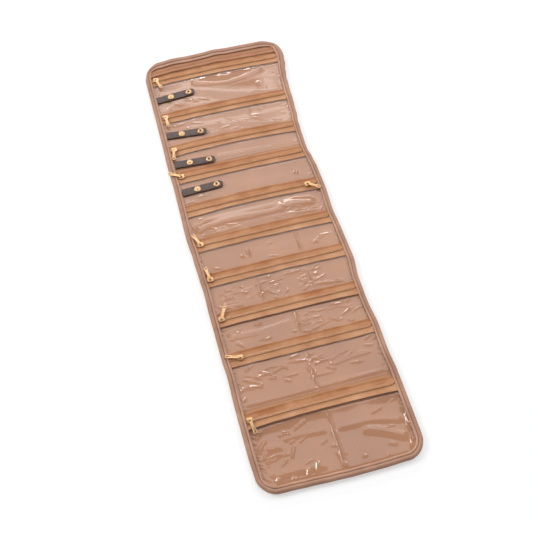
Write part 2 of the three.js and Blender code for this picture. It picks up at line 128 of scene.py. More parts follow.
# The binding's gathers: the height of the puckers and their length along the edge, in mm, between the
# stitches, in broad swells, round the corners and, with a dip, at the folds
STITCH_PUCKER = (0.30, 5.0)
BROAD_SWELL = (0.22, 14.0)
CORNER_PUCKER = (0.55, 3.4)
FOLD_PUCKER = (0.6, 2.6)
FOLD_DIP = 0.5
FOLD_DIP_REACH = 5.0
FLAT_AT_JOINT = 6.0
# A pucker lifts the cloth and spreads it by these shares, above the lowest part of the edge
LIFT_SHARE = 0.8
SPREAD_SHARE = 0.7
GATHERED_FROM = 0.4


def eased(value):
    """A smooth step from 0 to 1."""
    value = max(0.0, min(1.0, value))
    return value * value * (3 - 2 * value)


def along_curve(stations, place):
    """A value read smoothly between stations of (place, value)."""
    if place <= stations[0][0]:
        return stations[0][1]
    for (a, low), (b, high) in zip(stations, stations[1:]):
        if place <= b:
            return low + (high - low) * eased((place - a) / (b - a))
    return stations[-1][1]


def in_zone(place, zone):
    """How far a place has gone into a zone of (start, end), eased from 0 to 1."""
    return eased((place - zone[0]) / (zone[1] - zone[0]))


def drawn(x, y):
    """A point of the cloth, in mm, after the zips and folds have drawn its edges in."""
    side = along_curve(RIGHT_EDGE if x > 0 else LEFT_EDGE, y) * (abs(x) / HALF_WIDTH) ** SIDE_POWER
    end = along_curve(TOP_EDGE, x) * in_zone(y, TOP_ZONE) + along_curve(HEM_EDGE, x) * in_zone(y, HEM_ZONE)
    return x + side, y + end


def wave(*place):
    """Smooth noise from -1 to 1 at a place counted in wavelengths."""
    return noise.noise(Vector(place + (0.0,) * (3 - len(place))))


def soft_piece(name, points, faces, marks):
    """A mesh from points in mm, with marks in mm as its UV map in cm, one pair a point."""
    mesh = bpy.data.meshes.new(name)
    mesh.from_pydata([(x * mm, y * mm, z * mm) for x, y, z in points], [], faces)
    layer = mesh.uv_layers.new(name="UVMap")
    for loop in mesh.loops:
        layer.data[loop.index].uv = [m / 10 for m in marks[loop.vertex_index]]
    for polygon in mesh.polygons:
        polygon.use_smooth = True
    piece = bpy.data.objects.new(name, mesh)
    bpy.context.scene.collection.objects.link(piece)
    return piece


def grid_faces(rows, columns, first=0):
    """The faces of a grid of points that are numbered row by row."""
    return [(first + r * columns + c, first + r * columns + c + 1,
             first + (r + 1) * columns + c + 1, first + (r + 1) * columns + c)
            for r in range(rows - 1) for c in range(columns - 1)]


def steps(start, end, size):
    """Even places from start to end, about a size apart."""
    count = max(1, round(abs(end - start) / size))
    return [start + (end - start) * i / count for i in range(count + 1)]


def cloth_rows(low, high, size):
    """Places along the roll from low to high, closer together where the cloth bends at a fold."""
    near = [(f - FOLD_REACH, f + FOLD_REACH) for f in FOLD_LINES if low < f < high]
    marks = [low] + [m for pair in near for m in pair] + [high]
    rows = []
    for start, end in zip(marks, marks[1:]):
        rows += steps(start, end, FOLD_STEP if (start, end) in near else size)[:-1]
    return rows + [high]


def outline_half(y, inset):
    """Half the width of the mat at a place along it, drawn in from its edge by an inset."""
    past = abs(y) - (HALF_LENGTH - CORNER)
    if past <= 0:
        return HALF_WIDTH - inset
    return HALF_WIDTH - CORNER + math.sqrt(max(0.0, (CORNER - inset) ** 2 - past ** 2))


def edge_runs(low, high):
    """Runs of stations along the bound edge of one length: the centre of the edge's turn, and its angle."""
    x, y = HALF_WIDTH - CORNER, HALF_LENGTH - CORNER
    sides = cloth_rows(max(low, -y), min(high, y), EDGE_STEP)
    right = [(x, v, 0.0) for v in sides]
    left = [(-x, v, math.pi) for v in reversed(sides)]
    turn = [math.radians(90 * i / 26) for i in range(1, 26)]
    if high > y:
        top = [(v, y, math.pi / 2) for v in steps(x, -x, EDGE_STEP)]
        return [right + [(x, y, t) for t in turn] + top
                + [(-x, y, t + math.pi / 2) for t in turn] + left]
    if low < -y:
        hem = [(v, -y, math.pi * 1.5) for v in steps(-x, x, EDGE_STEP)]
        return [left + [(-x, -y, t + math.pi) for t in turn] + hem
                + [(x, -y, t + math.pi * 1.5) for t in turn] + right]
    return [right, left]


def edge_section():
    """The bound edge across: (inset, height) in mm of the roll, the groove, the piping and the underside."""
    half = ROLL_WIDTH / 2
    section = [(half - half * math.cos(t), ROLL_TOP / 2 * (1 + math.sin(t)))
               for t in (math.radians(-90 + 15 * i) for i in range(13))]
    section += [(half + half * math.sin(t), GROOVE + (ROLL_TOP - GROOVE) * math.cos(t))
                for t in (math.radians(15 * i) for i in range(1, 7))]
    section += [(ROLL_WIDTH + PIPING_WIDTH / 2 * (1 - math.cos(t)),
                 GROOVE + (PIPING_TOP - GROOVE) * math.sin(t))
                for t in (math.radians(22.5 * i) for i in range(1, 9))]
    inner = ROLL_WIDTH + PIPING_WIDTH
    return section + [(inner, PIPING_FOOT), (inner, BINDING_FOOT)]


def gathered(inset, height, along, angle, y):
    """A point of the edge's section after the gathers: they lift it and spread the roll or the piping."""
    if height < GATHERED_FROM or inset > ROLL_WIDTH + PIPING_WIDTH - 0.1:
        return inset, height
    cornered = abs(math.sin(2 * angle))
    creased = max(math.exp(-(((y - f) / FOLD_DIP_REACH) ** 2)) for f in FOLD_LINES)
    pucker = STITCH_PUCKER[0] * wave(along / STITCH_PUCKER[1], inset / 6)
    pucker += BROAD_SWELL[0] * wave(along / BROAD_SWELL[1], 4.0)
    pucker += cornered * CORNER_PUCKER[0] * wave(along / CORNER_PUCKER[1], inset / 7, 9.0)
    pucker -= creased * (FOLD_DIP + FOLD_PUCKER[0] * abs(wave(along / FOLD_PUCKER[1], 20.0)))
    pucker *= eased(min(abs(y - end) for end in LENGTH_ENDS[1:4]) / FLAT_AT_JOINT)
    centre = ROLL_WIDTH / 2 if inset < ROLL_WIDTH else ROLL_WIDTH + PIPING_WIDTH / 2
    lean = (inset - centre) / ROLL_WIDTH
    rise = max(0.0, height / ROLL_TOP)
    return inset + SPREAD_SHARE * pucker * lean, height + LIFT_SHARE * pucker * rise


def bound_edge(run, start):
    """A run of the bound edge as points, faces and marks, with a closing face of its own at each end."""
    section = edge_section()
    girth = [0.0]
    for a, b in zip(section, section[1:]):
        girth.append(girth[-1] + math.dist(a, b))
    points, faces, marks = [], [], []
    along, last = 0.0, None
    for cx, cy, angle in run:
        here = (cx + CORNER * math.cos(angle), cy + CORNER * math.sin(angle))
        along += math.dist(here, last) if last else 0.0
        last = here
        for (inset, height), mark in zip(section, girth):
            inset, height = gathered(inset, height, along + start, angle, here[1])
            inset *= 1 + HEADER_BROADER * eased(2 * math.sin(angle) - 1)
            reach = CORNER - inset
            x, y = drawn(cx + reach * math.cos(angle), cy + reach * math.sin(angle))
            points.append((x, y, height))
            marks.append((along, mark))
    count = len(section)
    for i in range(len(run) - 1):
        for j in range(count):
            a, b = i * count + j, i * count + (j + 1) % count
            faces.append((a, a + count, b + count, b))
    for ring, turn in ((0, 1), ((len(run) - 1) * count, -1)):
        faces.append(tuple(range(len(points), len(points) + count))[::turn])
        points += points[ring:ring + count]
        marks += marks[ring:ring + count]
    return points, faces, marks


def slab(low, high):
    """The flat cloth inside the binding as points, faces and marks. Its rim has points of its own."""
    rows = [y for y in cloth_rows(low, high, SLAB_STEP) if abs(y) < HALF_LENGTH - SLAB_INSET]
    if high == HALF_LENGTH:
        rows.append(HALF_LENGTH - SLAB_INSET)
    if low == -HALF_LENGTH:
        rows.insert(0, SLAB_INSET - HALF_LENGTH)
    columns = [i / 12 for i in range(-12, 13)]
    width, depth = len(columns), len(rows)
    points, faces, marks = [], [], []
    for height, turn in ((SLAB_TOP, 1), (0.0, -1)):
        faces += [face[::turn] for face in grid_faces(depth, width, len(points))]
        for y in rows:
            for share in columns:
                points.append((*drawn(share * outline_half(y, SLAB_INSET), y), height))
                marks.append((share * HALF_WIDTH + SLAB_MARKS[0], y + SLAB_MARKS[1]))
    under = width * depth
    rim = (list(range(width)) + [r * width + width - 1 for r in range(1, depth)]
           + [(depth - 1) * width + c for c in reversed(range(width - 1))]
           + [r * width for r in reversed(range(1, depth - 1))])
    for a, b in zip(rim, rim[1:] + rim[:1]):
        corners = (b, a, under + a, under + b)
        faces.append(tuple(range(len(points), len(points) + 4)))
        points += [points[c] for c in corners]
        marks += [marks[c] for c in corners]
    return points, faces, marks


def as_one(parts):
    """Several lots of points, faces and marks put together."""
    points, faces, marks = [], [], []
    for part_points, part_faces, part_marks in parts:
        first = len(points)
        faces += [tuple(first + v for v in face) for face in part_faces]
        points += part_points
        marks += part_marks
    return points, faces, marks


def bend_at_fold(piece):
    """Bakes a cloth piece's placement into its mesh."""
    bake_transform(piece)


def linear(code):
    """An sRGB hex colour as linear red, green, blue and alpha."""
    parts = [int(code[i:i + 2], 16) / 255 for i in (1, 3, 5)]
    return tuple(c / 12.92 if c <= 0.04045 else ((c + 0.055) / 1.055) ** 2.4 for c in parts) + (1.0,)


def add_node(tree, kind, inputs=None, **settings):
    """A node with its settings, its input values and the links into it."""
    made = tree.nodes.new(kind)
    for key, value in settings.items():
        setattr(made, key, value)
    for key, value in (inputs or {}).items():
        if isinstance(value, bpy.types.NodeSocket):
            tree.links.new(value, made.inputs[key])
        else:
            made.inputs[key].default_value = value
    return made


def bare_material(name):
    """A new material, its node tree and its Principled node."""
    material = bpy.data.materials.new(name)
    material.use_nodes = True
    return material, material.node_tree, material.node_tree.nodes["Principled BSDF"]


def band_scale(spacing):
    """A wave texture's scale for threads a spacing in mm apart, on a UV map in cm."""
    return math.pi / spacing


def patch_scale(size):
    """A noise texture's scale for patches of a size in mm, on Object coordinates in metres."""
    return 1 / (size * mm)


# Polyester cloth, plain woven and slightly brushed: matt with a faint sheen, its shade shifting in patches
# of 36 mm. The groove is darker, for its dark thread and for painted shade; the piping is painted paler, a
# painted highlight; and the inner foot has painted shade. The threads are 0.5 mm apart but are drawn at
# 1.1 mm so that they show.
COVER_THREADS = 1.083
COVER_CLOUDS = 35.7
GROOVE_MARK = sum(math.dist(a, b) for a, b in zip(edge_section(), edge_section()[1:19])) / 10
GROOVE_THREAD_AND_SHADE = (0.03, 0.13)
PIPING_MARKS = (GROOVE_MARK + 0.04, GROOVE_MARK + 0.6)
FOOT_MARKS = (GROOVE_MARK + 0.45, GROOVE_MARK + 1.5)
cover_cloth, tree, surface = bare_material("polyester_cloth_brown")
marks = add_node(tree, "ShaderNodeUVMap").outputs["UV"]
threads = {"Vector": marks, "Scale": band_scale(COVER_THREADS), "Distortion": 0.6, "Detail Scale": 2.0}
warp = add_node(tree, "ShaderNodeTexWave", threads)
weft = add_node(tree, "ShaderNodeTexWave", threads, bands_direction="Y")
weave = add_node(tree, "ShaderNodeMath", {0: warp.outputs["Fac"], 1: weft.outputs["Fac"]}, operation="ADD")
place = add_node(tree, "ShaderNodeTexCoord").outputs["Object"]
cloud = add_node(tree, "ShaderNodeTexNoise", {
    "Vector": place, "Scale": patch_scale(COVER_CLOUDS), "Detail": 4.0})
tone = add_node(tree, "ShaderNodeValToRGB", {"Fac": cloud.outputs["Fac"]})
deep, light = tone.color_ramp.elements
deep.position, deep.color = 0.3, linear("#a0765f")
light.position, light.color = 0.72, linear("#b98d75")
across = add_node(tree, "ShaderNodeSeparateXYZ", {"Vector": marks}).outputs["Y"]
# Painted shade in the groove, on top of its dark thread: the cloth is darkened along the groove's marks.
off_groove = add_node(tree, "ShaderNodeMath", {0: across, 1: GROOVE_MARK}, operation="SUBTRACT")
groove_gap = add_node(tree, "ShaderNodeMath", {0: off_groove.outputs[0]}, operation="ABSOLUTE")
groove_thread_and_shade = add_node(tree, "ShaderNodeMapRange", {
    "Value": groove_gap.outputs[0], "From Min": GROOVE_THREAD_AND_SHADE[0], "From Max": GROOVE_THREAD_AND_SHADE[1],
    "To Min": 0.45, "To Max": 1.0})
shaded = add_node(tree, "ShaderNodeVectorMath", {0: tone.outputs["Color"], "Scale": groove_thread_and_shade.outputs[0]},
                  operation="SCALE")
# Painted highlight on the piping, which is made paler, and painted shade on the inner foot, which is made
# darker.
for (start, end), strength in ((PIPING_MARKS, 1.2), (FOOT_MARKS, 0.5)):
    past = add_node(tree, "ShaderNodeMath", {0: across, 1: start}, operation="GREATER_THAN")
    short = add_node(tree, "ShaderNodeMath", {0: across, 1: end}, operation="LESS_THAN")
    inside = add_node(tree, "ShaderNodeMath", {0: past.outputs[0], 1: short.outputs[0]}, operation="MULTIPLY")
    change = add_node(tree, "ShaderNodeMapRange", {
        "Value": inside.outputs[0], "To Min": 1.0, "To Max": strength})
    shaded = add_node(tree, "ShaderNodeVectorMath", {0: shaded.outputs[0], "Scale": change.outputs[0]},
                      operation="SCALE")
tree.links.new(shaded.outputs[0], surface.inputs["Base Color"])
thread = add_node(tree, "ShaderNodeBump", {
    "Height": weave.outputs[0], "Strength": 0.25, "Distance": 0.2 * mm})
tree.links.new(thread.outputs[0], surface.inputs["Normal"])
surface.inputs["Roughness"].default_value = 0.72
surface.inputs["Sheen Weight"].default_value = 0.25
surface.inputs["Sheen Roughness"].default_value = 0.4

# The gathers of each length start at a place of their own in the noise
GATHERS_APART = 400
for number, (_, _, low, high) in enumerate(LENGTHS, 1):
    edges = [bound_edge(run, GATHERS_APART * number) for run in edge_runs(low, high)]
    cover = soft_piece(f"cover_length_{number}", *as_one(edges + [slab(low, high)]))
    cover.data.materials.append(cover_cloth)
    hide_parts(*([f"cover_{number}"] if number < 4 else ["cover_4", "cover_5"]))
    bend_at_fold(cover)

# Lining
# A thin satin cloth laid on foam, sewn in under the binding all round. It shows through the film in every
# pocket, and is made in the same four lengths as the cover.
LINING_TOP = 3.7
LINING_THICKNESS = 2.2
LINING_INSET = 6.0
LINING_STEP = 3.0
LINING_SAG = 0.22
LINING_RIPPLE = 0.12


def alone(piece):
    """Leaves one piece selected and active, for the operators that follow."""
    bpy.ops.object.select_all(action="DESELECT")
    bpy.context.view_layer.objects.active = piece
    piece.select_set(True)


def thicken(piece, name, thickness):
    """Gives a sheet its thickness in mm, down from the face that was drawn."""
    alone(piece)
    wall = piece.modifiers.new(name, "SOLIDIFY")
    wall.thickness, wall.offset = thickness * mm, -1.0
    bpy.ops.object.modifier_apply(modifier=wall.name)


# Polyester satin, woven: its smooth face gives a soft sheen, and its shade shifts in patches of 71 mm. Its
# cross threads are 0.2 mm apart but are drawn at 1 mm so that they show.
LINING_THREADS = 1.0134
LINING_CLOUDS = 71.4
lining_satin, tree, surface = bare_material("polyester_satin_tan")
place = add_node(tree, "ShaderNodeTexCoord").outputs["Object"]
cloud = add_node(tree, "ShaderNodeTexNoise", {
    "Vector": place, "Scale": patch_scale(LINING_CLOUDS), "Detail": 5.0})
tone = add_node(tree, "ShaderNodeValToRGB", {"Fac": cloud.outputs["Fac"]})
deep, light = tone.color_ramp.elements
deep.position, deep.color = 0.3, linear("#ad7b56")
light.position, light.color = 0.75, linear("#bd8962")
tree.links.new(tone.outputs["Color"], surface.inputs["Base Color"])
marks = add_node(tree, "ShaderNodeUVMap").outputs["UV"]
threads = {"Vector": marks, "Scale": band_scale(LINING_THREADS), "Distortion": 1.0}
ribs = add_node(tree, "ShaderNodeTexWave", threads, bands_direction="Y")
thread = add_node(tree, "ShaderNodeBump", {
    "Height": ribs.outputs["Fac"], "Strength": 0.12, "Distance": 0.2 * mm})
tree.links.new(thread.outputs[0], surface.inputs["Normal"])
surface.inputs["Roughness"].default_value = 0.5
surface.inputs["Sheen Weight"].default_value = 0.15

for number, (_, _, low, high) in enumerate(LENGTHS, 1):
    rows = [y for y in cloth_rows(low, high, LINING_STEP) if abs(y) < HALF_LENGTH - LINING_INSET]
    columns = [i / 44 for i in range(-44, 45)]
    points, cloth_marks = [], []
    for y in rows:
        for share in columns:
            x = share * outline_half(y, LINING_INSET)
            sag = LINING_SAG * wave(x / 30, y / 17) + LINING_RIPPLE * wave(x / 11, y / 8, 5.0)
            points.append((*drawn(x, y), LINING_TOP + sag))
            cloth_marks.append((x, y))
    lining = soft_piece(f"lining_length_{number}", points, grid_faces(len(rows), len(columns)), cloth_marks)
    lining.data.materials.append(lining_satin)
    thicken(lining, "cloth and foam", LINING_THICKNESS)
    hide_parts(*([f"lining_{number}"] if number < 4 else ["lining_4", "lining_5"]))
    bend_at_fold(lining)

# Header
# The strip between the binding and the first zip is a band of orange tan cloth, the stuff of the zip tapes.
# It is sewn under the binding, and its lower edge is folded under and lies on the first zip's upper tape.
HEADER_LOW = 370.0
HEADER_HIGH = 396.0
HEADER_REST = 5.3
HEADER_THICKNESS = 0.6
# The rolls that the folded edge makes: where along the roll, how broad and how high, in mm
HEADER_ROLLS = [(372.5, 3.0, 1.5), (380.5, 4.5, 0.9)]
HEADER_UNEVEN = 0.35
HEADER_RIPPLE = 0.12
HEADER_BOW = 2.2
HEADER_WANDER = 1.2

# Woven polyester, as the tapes are: matt, orange tan in patches of 33 mm, with ribs 0.9 mm apart that are
# drawn at 1.85 mm so that they show. A slanting wave's bands lie wider apart by the root of two.
TAPE_RIBS = 1.851
TAPE_CLOUDS = 33.3
header_weave, tree, surface = bare_material("polyester_header_cloth_tan")
marks = add_node(tree, "ShaderNodeUVMap").outputs["UV"]
threads = {"Vector": marks, "Scale": math.sqrt(2) * band_scale(TAPE_RIBS), "Distortion": 0.4}
ribs = add_node(tree, "ShaderNodeTexWave", threads, bands_direction="DIAGONAL")
place = add_node(tree, "ShaderNodeTexCoord").outputs["Object"]
cloud = add_node(tree, "ShaderNodeTexNoise", {
    "Vector": place, "Scale": patch_scale(TAPE_CLOUDS), "Detail": 3.0})
tone = add_node(tree, "ShaderNodeValToRGB", {"Fac": cloud.outputs["Fac"]})
deep, light = tone.color_ramp.elements
deep.position, deep.color = 0.3, linear("#965f39")
light.position, light.color = 0.75, linear("#ab7148")
tree.links.new(tone.outputs["Color"], surface.inputs["Base Color"])
thread = add_node(tree, "ShaderNodeBump", {
    "Height": ribs.outputs["Fac"], "Strength": 0.3, "Distance": 0.2 * mm})
tree.links.new(thread.outputs[0], surface.inputs["Normal"])
surface.inputs["Roughness"].default_value = 0.66
surface.inputs["Sheen Weight"].default_value = 0.2

rows = steps(HEADER_LOW, HEADER_HIGH, 0.8)
columns = [i / 60 for i in range(-60, 61)]
points, cloth_marks = [], []
for y in rows:
    for share in columns:
        x = share * outline_half(y, LINING_INSET)
        bulge = sum(high * math.exp(-(((y - at) / broad) ** 2)) for at, broad, high in HEADER_ROLLS)
        bulge *= 1 + HEADER_UNEVEN * wave(x / 28, y / 30)
        edge = HEADER_WANDER * wave(x / 45, 8.0) - HEADER_BOW * share * share
        loose = (HEADER_HIGH - y) / (HEADER_HIGH - HEADER_LOW)
        height = HEADER_REST + bulge + HEADER_RIPPLE * wave(x / 12, y / 5)
        points.append((*drawn(x, y + edge * loose), height))
        cloth_marks.append((x, y))
header = soft_piece("header_cloth", points, grid_faces(len(rows), len(columns)), cloth_marks)
header.data.materials.append(header_weave)
thicken(header, "cloth", HEADER_THICKNESS)
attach(header, "panel_1")

# Zip tapes
# A pair of woven polyester tapes runs under each slider. They are sewn down near their outer edges, which
# stay a little loose, and stand slightly proud along the middle, where the coils are sewn to them.
ZIP_BODIES = ["panel_1"] * 3 + ["panel_2"] * 3 + ["panel_3"] * 2 + ["panel_4", "panel_5"]
TAPE_INNER = 0.75
TAPE_FIRM = 5.0
TAPE_HALF = 11.7
TAPE_END = 111.5
TAPE_TOP = 5.95
TAPE_STEP = 0.45
TAPE_STEP_ZONE = (4.4, 6.9)
TAPE_THICKNESS = 0.45
# How far each zip bows towards the header, how far its loose edges bow, and how far its lower edge lifts,
# in mm
ZIP_BOW = [1.5, 1.2, 1.5, 0.4, 1.5, 0.9, 0.5, 0.8, 0.4, 1.4]
EDGE_BOW = [2.0, 1.5, 3.5, 1.5, 3.5, 1.5, 1.0, 0.5, -0.5, 1.5]
EDGE_LIFT = [0.5, 0.4, 0.4, 0.3, 0.6, 0.4, 0.4, 1.0, 0.3, 1.6]
EDGE_WANDER = 0.9
EDGE_WAVE = 0.22
EDGE_RIPPLE = 0.12

# Woven polyester tape, orange tan: patches and ribs as on the header, and a line of stitches 9 mm from the
# coil. Its lower half is painted paler, a painted reflection of the film's glare, and it is a little darker
# towards the outer edge of its upper half. Faintly darker lines run beside the coil, and the lower edge has
# painted shade, deeper in patches of 42 mm.
SEAM_MARK = 0.93
COIL_MARK = 0.3
PALER_ZONE = (0.9, -0.3)
EDGE_SHADE_ZONE = (-1.16, -1.06)
EDGE_SHADE_PATCHES = 41.7
tape_weave, tree, surface = bare_material("polyester_zip_tape_tan")
marks = add_node(tree, "ShaderNodeUVMap").outputs["UV"]
spread = add_node(tree, "ShaderNodeSeparateXYZ", {"Vector": marks})
side = add_node(tree, "ShaderNodeMath", {0: spread.outputs["Y"]}, operation="ABSOLUTE")
slanted = add_node(tree, "ShaderNodeCombineXYZ", {"X": spread.outputs["X"], "Y": side.outputs[0]})
threads = {"Vector": slanted.outputs[0], "Scale": math.sqrt(2) * band_scale(TAPE_RIBS), "Distortion": 0.4}
ribs = add_node(tree, "ShaderNodeTexWave", threads, bands_direction="DIAGONAL")
place = add_node(tree, "ShaderNodeTexCoord").outputs["Object"]
cloud = add_node(tree, "ShaderNodeTexNoise", {
    "Vector": place, "Scale": patch_scale(TAPE_CLOUDS), "Detail": 3.0})
# Painted reflection: the lower half of each tape is made paler, for the film's glare, and its upper edge a
# little darker.
upper = add_node(tree, "ShaderNodeMapRange", {
    "Value": spread.outputs["Y"], "From Min": PALER_ZONE[1], "From Max": PALER_ZONE[0],
    "To Min": 0.27, "To Max": -0.08})
blend = add_node(tree, "ShaderNodeMath", {0: cloud.outputs["Fac"], 1: upper.outputs[0]}, operation="ADD")
tone = add_node(tree, "ShaderNodeValToRGB", {"Fac": blend.outputs[0]})
deep, light = tone.color_ramp.elements
deep.position, deep.color = 0.3, linear("#a1653b")
light.position, light.color = 1.0, linear("#cf9c75")
seam_gap = add_node(tree, "ShaderNodeMath", {0: side.outputs[0], 1: SEAM_MARK}, operation="SUBTRACT")
seam_off = add_node(tree, "ShaderNodeMath", {0: seam_gap.outputs[0]}, operation="ABSOLUTE")
seam_dark = add_node(tree, "ShaderNodeMapRange", {
    "Value": seam_off.outputs[0], "From Min": 0.02, "From Max": 0.06, "To Min": 0.8, "To Max": 1.0})
# Faintly darker lines beside the coil.
coil_gap = add_node(tree, "ShaderNodeMath", {0: side.outputs[0], 1: COIL_MARK}, operation="SUBTRACT")
coil_off = add_node(tree, "ShaderNodeMath", {0: coil_gap.outputs[0]}, operation="ABSOLUTE")
coil_dark = add_node(tree, "ShaderNodeMapRange", {
    "Value": coil_off.outputs[0], "From Min": 0.03, "From Max": 0.08, "To Min": 0.94, "To Max": 1.0})
# Painted shade along the lower edge of the tape, where it stands proud of the film, deeper in some patches
# than in others.
patches = add_node(tree, "ShaderNodeTexNoise", {"Vector": place, "Scale": patch_scale(EDGE_SHADE_PATCHES)})
turned = add_node(tree, "ShaderNodeMapRange", {
    "Value": patches.outputs["Fac"], "From Min": 0.38, "From Max": 0.62, "To Min": 0.58, "To Max": 1.0})
painted_edge_shade = add_node(tree, "ShaderNodeMapRange", {
    "Value": spread.outputs["Y"], "From Min": EDGE_SHADE_ZONE[0], "From Max": EDGE_SHADE_ZONE[1],
    "To Min": turned.outputs[0], "To Max": 1.0})
dark = add_node(tree, "ShaderNodeMath", {0: seam_dark.outputs[0], 1: coil_dark.outputs[0]},
                operation="MULTIPLY")
dark = add_node(tree, "ShaderNodeMath", {0: dark.outputs[0], 1: painted_edge_shade.outputs[0]},
                operation="MULTIPLY")
shaded = add_node(tree, "ShaderNodeVectorMath", {0: tone.outputs["Color"], "Scale": dark.outputs[0]},
                  operation="SCALE")
tree.links.new(shaded.outputs[0], surface.inputs["Base Color"])
thread = add_node(tree, "ShaderNodeBump", {
    "Height": ribs.outputs["Fac"], "Strength": 0.3, "Distance": 0.2 * mm})
tree.links.new(thread.outputs[0], surface.inputs["Normal"])
surface.inputs["Roughness"].default_value = 0.62
surface.inputs["Sheen Weight"].default_value = 0.2
surface.inputs["Sheen Tint"].default_value = linear("#d9ac84")
surface.inputs["Specular IOR Level"].default_value = 0.3


def zip_line(zip_number, x):
    """Where the middle of a zip lies along the roll: its place, slightly bowed."""
    return ZIP_PLACES[zip_number - 1] + ZIP_BOW[zip_number - 1] * (1 - (x / TAPE_END) ** 2)


def tape_spot(zip_number, x, across):
    """A point of a tape's upper face, from its distance to the middle of the zip."""
    out = abs(across)
    loose = max(0.0, (out - TAPE_FIRM) / (TAPE_HALF - TAPE_FIRM))
    edge = loose * (EDGE_BOW[zip_number - 1] * (0.6 - (x / TAPE_END) ** 2)
                    + EDGE_WANDER * wave(x / 30, 5.0 * zip_number, math.copysign(1, across)))
    step_start, step_end = TAPE_STEP_ZONE
    rise = TAPE_TOP - TAPE_STEP * min(1.0, max(0.0, out - step_start) / (step_end - step_start))
    if across < 0:
        rise += EDGE_LIFT[zip_number - 1] * loose
    rise += loose * (EDGE_WAVE * wave(x / 22, across / 12, 3.0 * zip_number)
                     + EDGE_RIPPLE * wave(x / 8, across / 9, 40.0 + zip_number))
    x, y = drawn(x, zip_line(zip_number, x) + across + edge)
    return x, y, rise


def tape_half(zip_number, side):
    """The tape on one side of a zip as points, faces and marks."""
    rows = [side * (TAPE_INNER + (TAPE_HALF - TAPE_INNER) * i / 12) for i in range(13)]
    columns = steps(-TAPE_END, TAPE_END, 2.0)
    points = [tape_spot(zip_number, x, across) for across in rows for x in columns]
    faces = [face[::side] for face in grid_faces(len(rows), len(columns))]
    return points, faces, [(x, across) for across in rows for x in columns]


for zip_number in range(1, 11):
    halves = [tape_half(zip_number, side) for side in (-1, 1)]
    tape = soft_piece(f"zip_tape_{zip_number}", *as_one(halves))
    tape.data.materials.append(tape_weave)
    thicken(tape, "tape", TAPE_THICKNESS)
    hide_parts(f"zip_{zip_number}")
    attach(tape, ZIP_BODIES[zip_number - 1])

# Coils
# The zip's teeth are turns of a polyester monofilament sewn along the inner edge of each tape. The turns of
# the two sides interlock along the middle of the zip. One straight coil is modelled, copied and bowed.
TURN_PITCH = 1.6
TURN_RADIUS = 0.78
TURN_LENGTH = 2.7
TURN_ROUNDING = 0.55
TURN_OUT = 0.95
COIL_MIDDLE = 6.55
COIL_END = 107.5

# Dyed polyester monofilament: smooth and slightly glossy, of the tape's own shade, which shifts every 6 mm.
COIL_SHADES = 6.25
coil_plastic, tree, surface = bare_material("polyester_monofilament_tan")
place = add_node(tree, "ShaderNodeTexCoord").outputs["Object"]
cloud = add_node(tree, "ShaderNodeTexNoise", {"Vector": place, "Scale": patch_scale(COIL_SHADES)})
tone = add_node(tree, "ShaderNodeValToRGB", {"Fac": cloud.outputs["Fac"]})
deep, light = tone.color_ramp.elements
deep.color, light.color = linear("#b67d51"), linear("#cf9a6d")
tree.links.new(tone.outputs["Color"], surface.inputs["Base Color"])
surface.inputs["Roughness"].default_value = 0.35


def round_edges(piece, name, width, segments, sharper_than):
    """Rounds the edges of the active piece that turn by more than an angle in degrees."""
    rounding = piece.modifiers.new(name, "BEVEL")
    rounding.width, rounding.segments, rounding.limit_method = width * mm, segments, "ANGLE"
    rounding.angle_limit = math.radians(sharper_than)
    bpy.ops.object.modifier_apply(modifier=rounding.name)


def joined(name, pieces):
    """The pieces as one object of that name."""
    alone(pieces[0])
    for piece in pieces:
        piece.select_set(True)
    bpy.ops.object.join()
    whole = bpy.context.view_layer.objects.active
    bpy.ops.object.transform_apply(location=True, rotation=True, scale=True)
    whole.name = name
    return whole


def copy_of(piece, name, place=(0, 0, 0)):
    """A copy of a piece with a mesh of its own, moved to a place in metres."""
    copy = piece.copy()
    copy.data = piece.data.copy()
    copy.data.transform(Matrix.Translation(place))
    copy.name = name
    bpy.context.scene.collection.objects.link(copy)
    return copy


def coil_half(side):
    """One side of a straight coil: a rounded turn across the zip, repeated along it."""
    bpy.ops.object.select_all(action="DESELECT")
    bpy.ops.mesh.primitive_cylinder_add(vertices=8, radius=TURN_RADIUS * mm, depth=TURN_LENGTH * mm,
                                        location=(0, 0, 0), rotation=(math.pi / 2, 0, 0))
    half = bpy.context.object
    bpy.ops.object.transform_apply(location=True, rotation=True, scale=True)
    round_edges(half, "rounded turns", TURN_ROUNDING, 1, 60)
    start = -COIL_END + (TURN_PITCH / 2 if side > 0 else 0)
    bpy.ops.object.mode_set(mode="EDIT")
    bpy.ops.mesh.select_all(action="SELECT")
    bpy.ops.transform.translate(value=(start * mm, side * TURN_OUT * mm, COIL_MIDDLE * mm))
    bpy.ops.object.mode_set(mode="OBJECT")
    turns = half.modifiers.new("turns", "ARRAY")
    turns.use_relative_offset, turns.use_constant_offset = False, True
    turns.constant_offset_displace = (TURN_PITCH * mm, 0, 0)
    turns.count = int(2 * COIL_END / TURN_PITCH)
    bpy.ops.object.modifier_apply(modifier=turns.name)
    return half


straight_coil = joined("straight_coil", [coil_half(-1), coil_half(1)])
for zip_number in range(1, 11):
    coil = copy_of(straight_coil, f"zip_coil_{zip_number}")
    for vertex in coil.data.vertices:
        x, across = vertex.co.x / mm, vertex.co.y / mm
        x, y = drawn(x, zip_line(zip_number, x) + across)
        vertex.co.x, vertex.co.y = x * mm, y * mm
    alone(coil)
    bpy.ops.object.shade_smooth_by_angle(angle=math.radians(40))
    coil.data.materials.append(coil_plastic)
    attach(coil, ZIP_BODIES[zip_number - 1])
bpy.data.objects.remove(straight_coil)

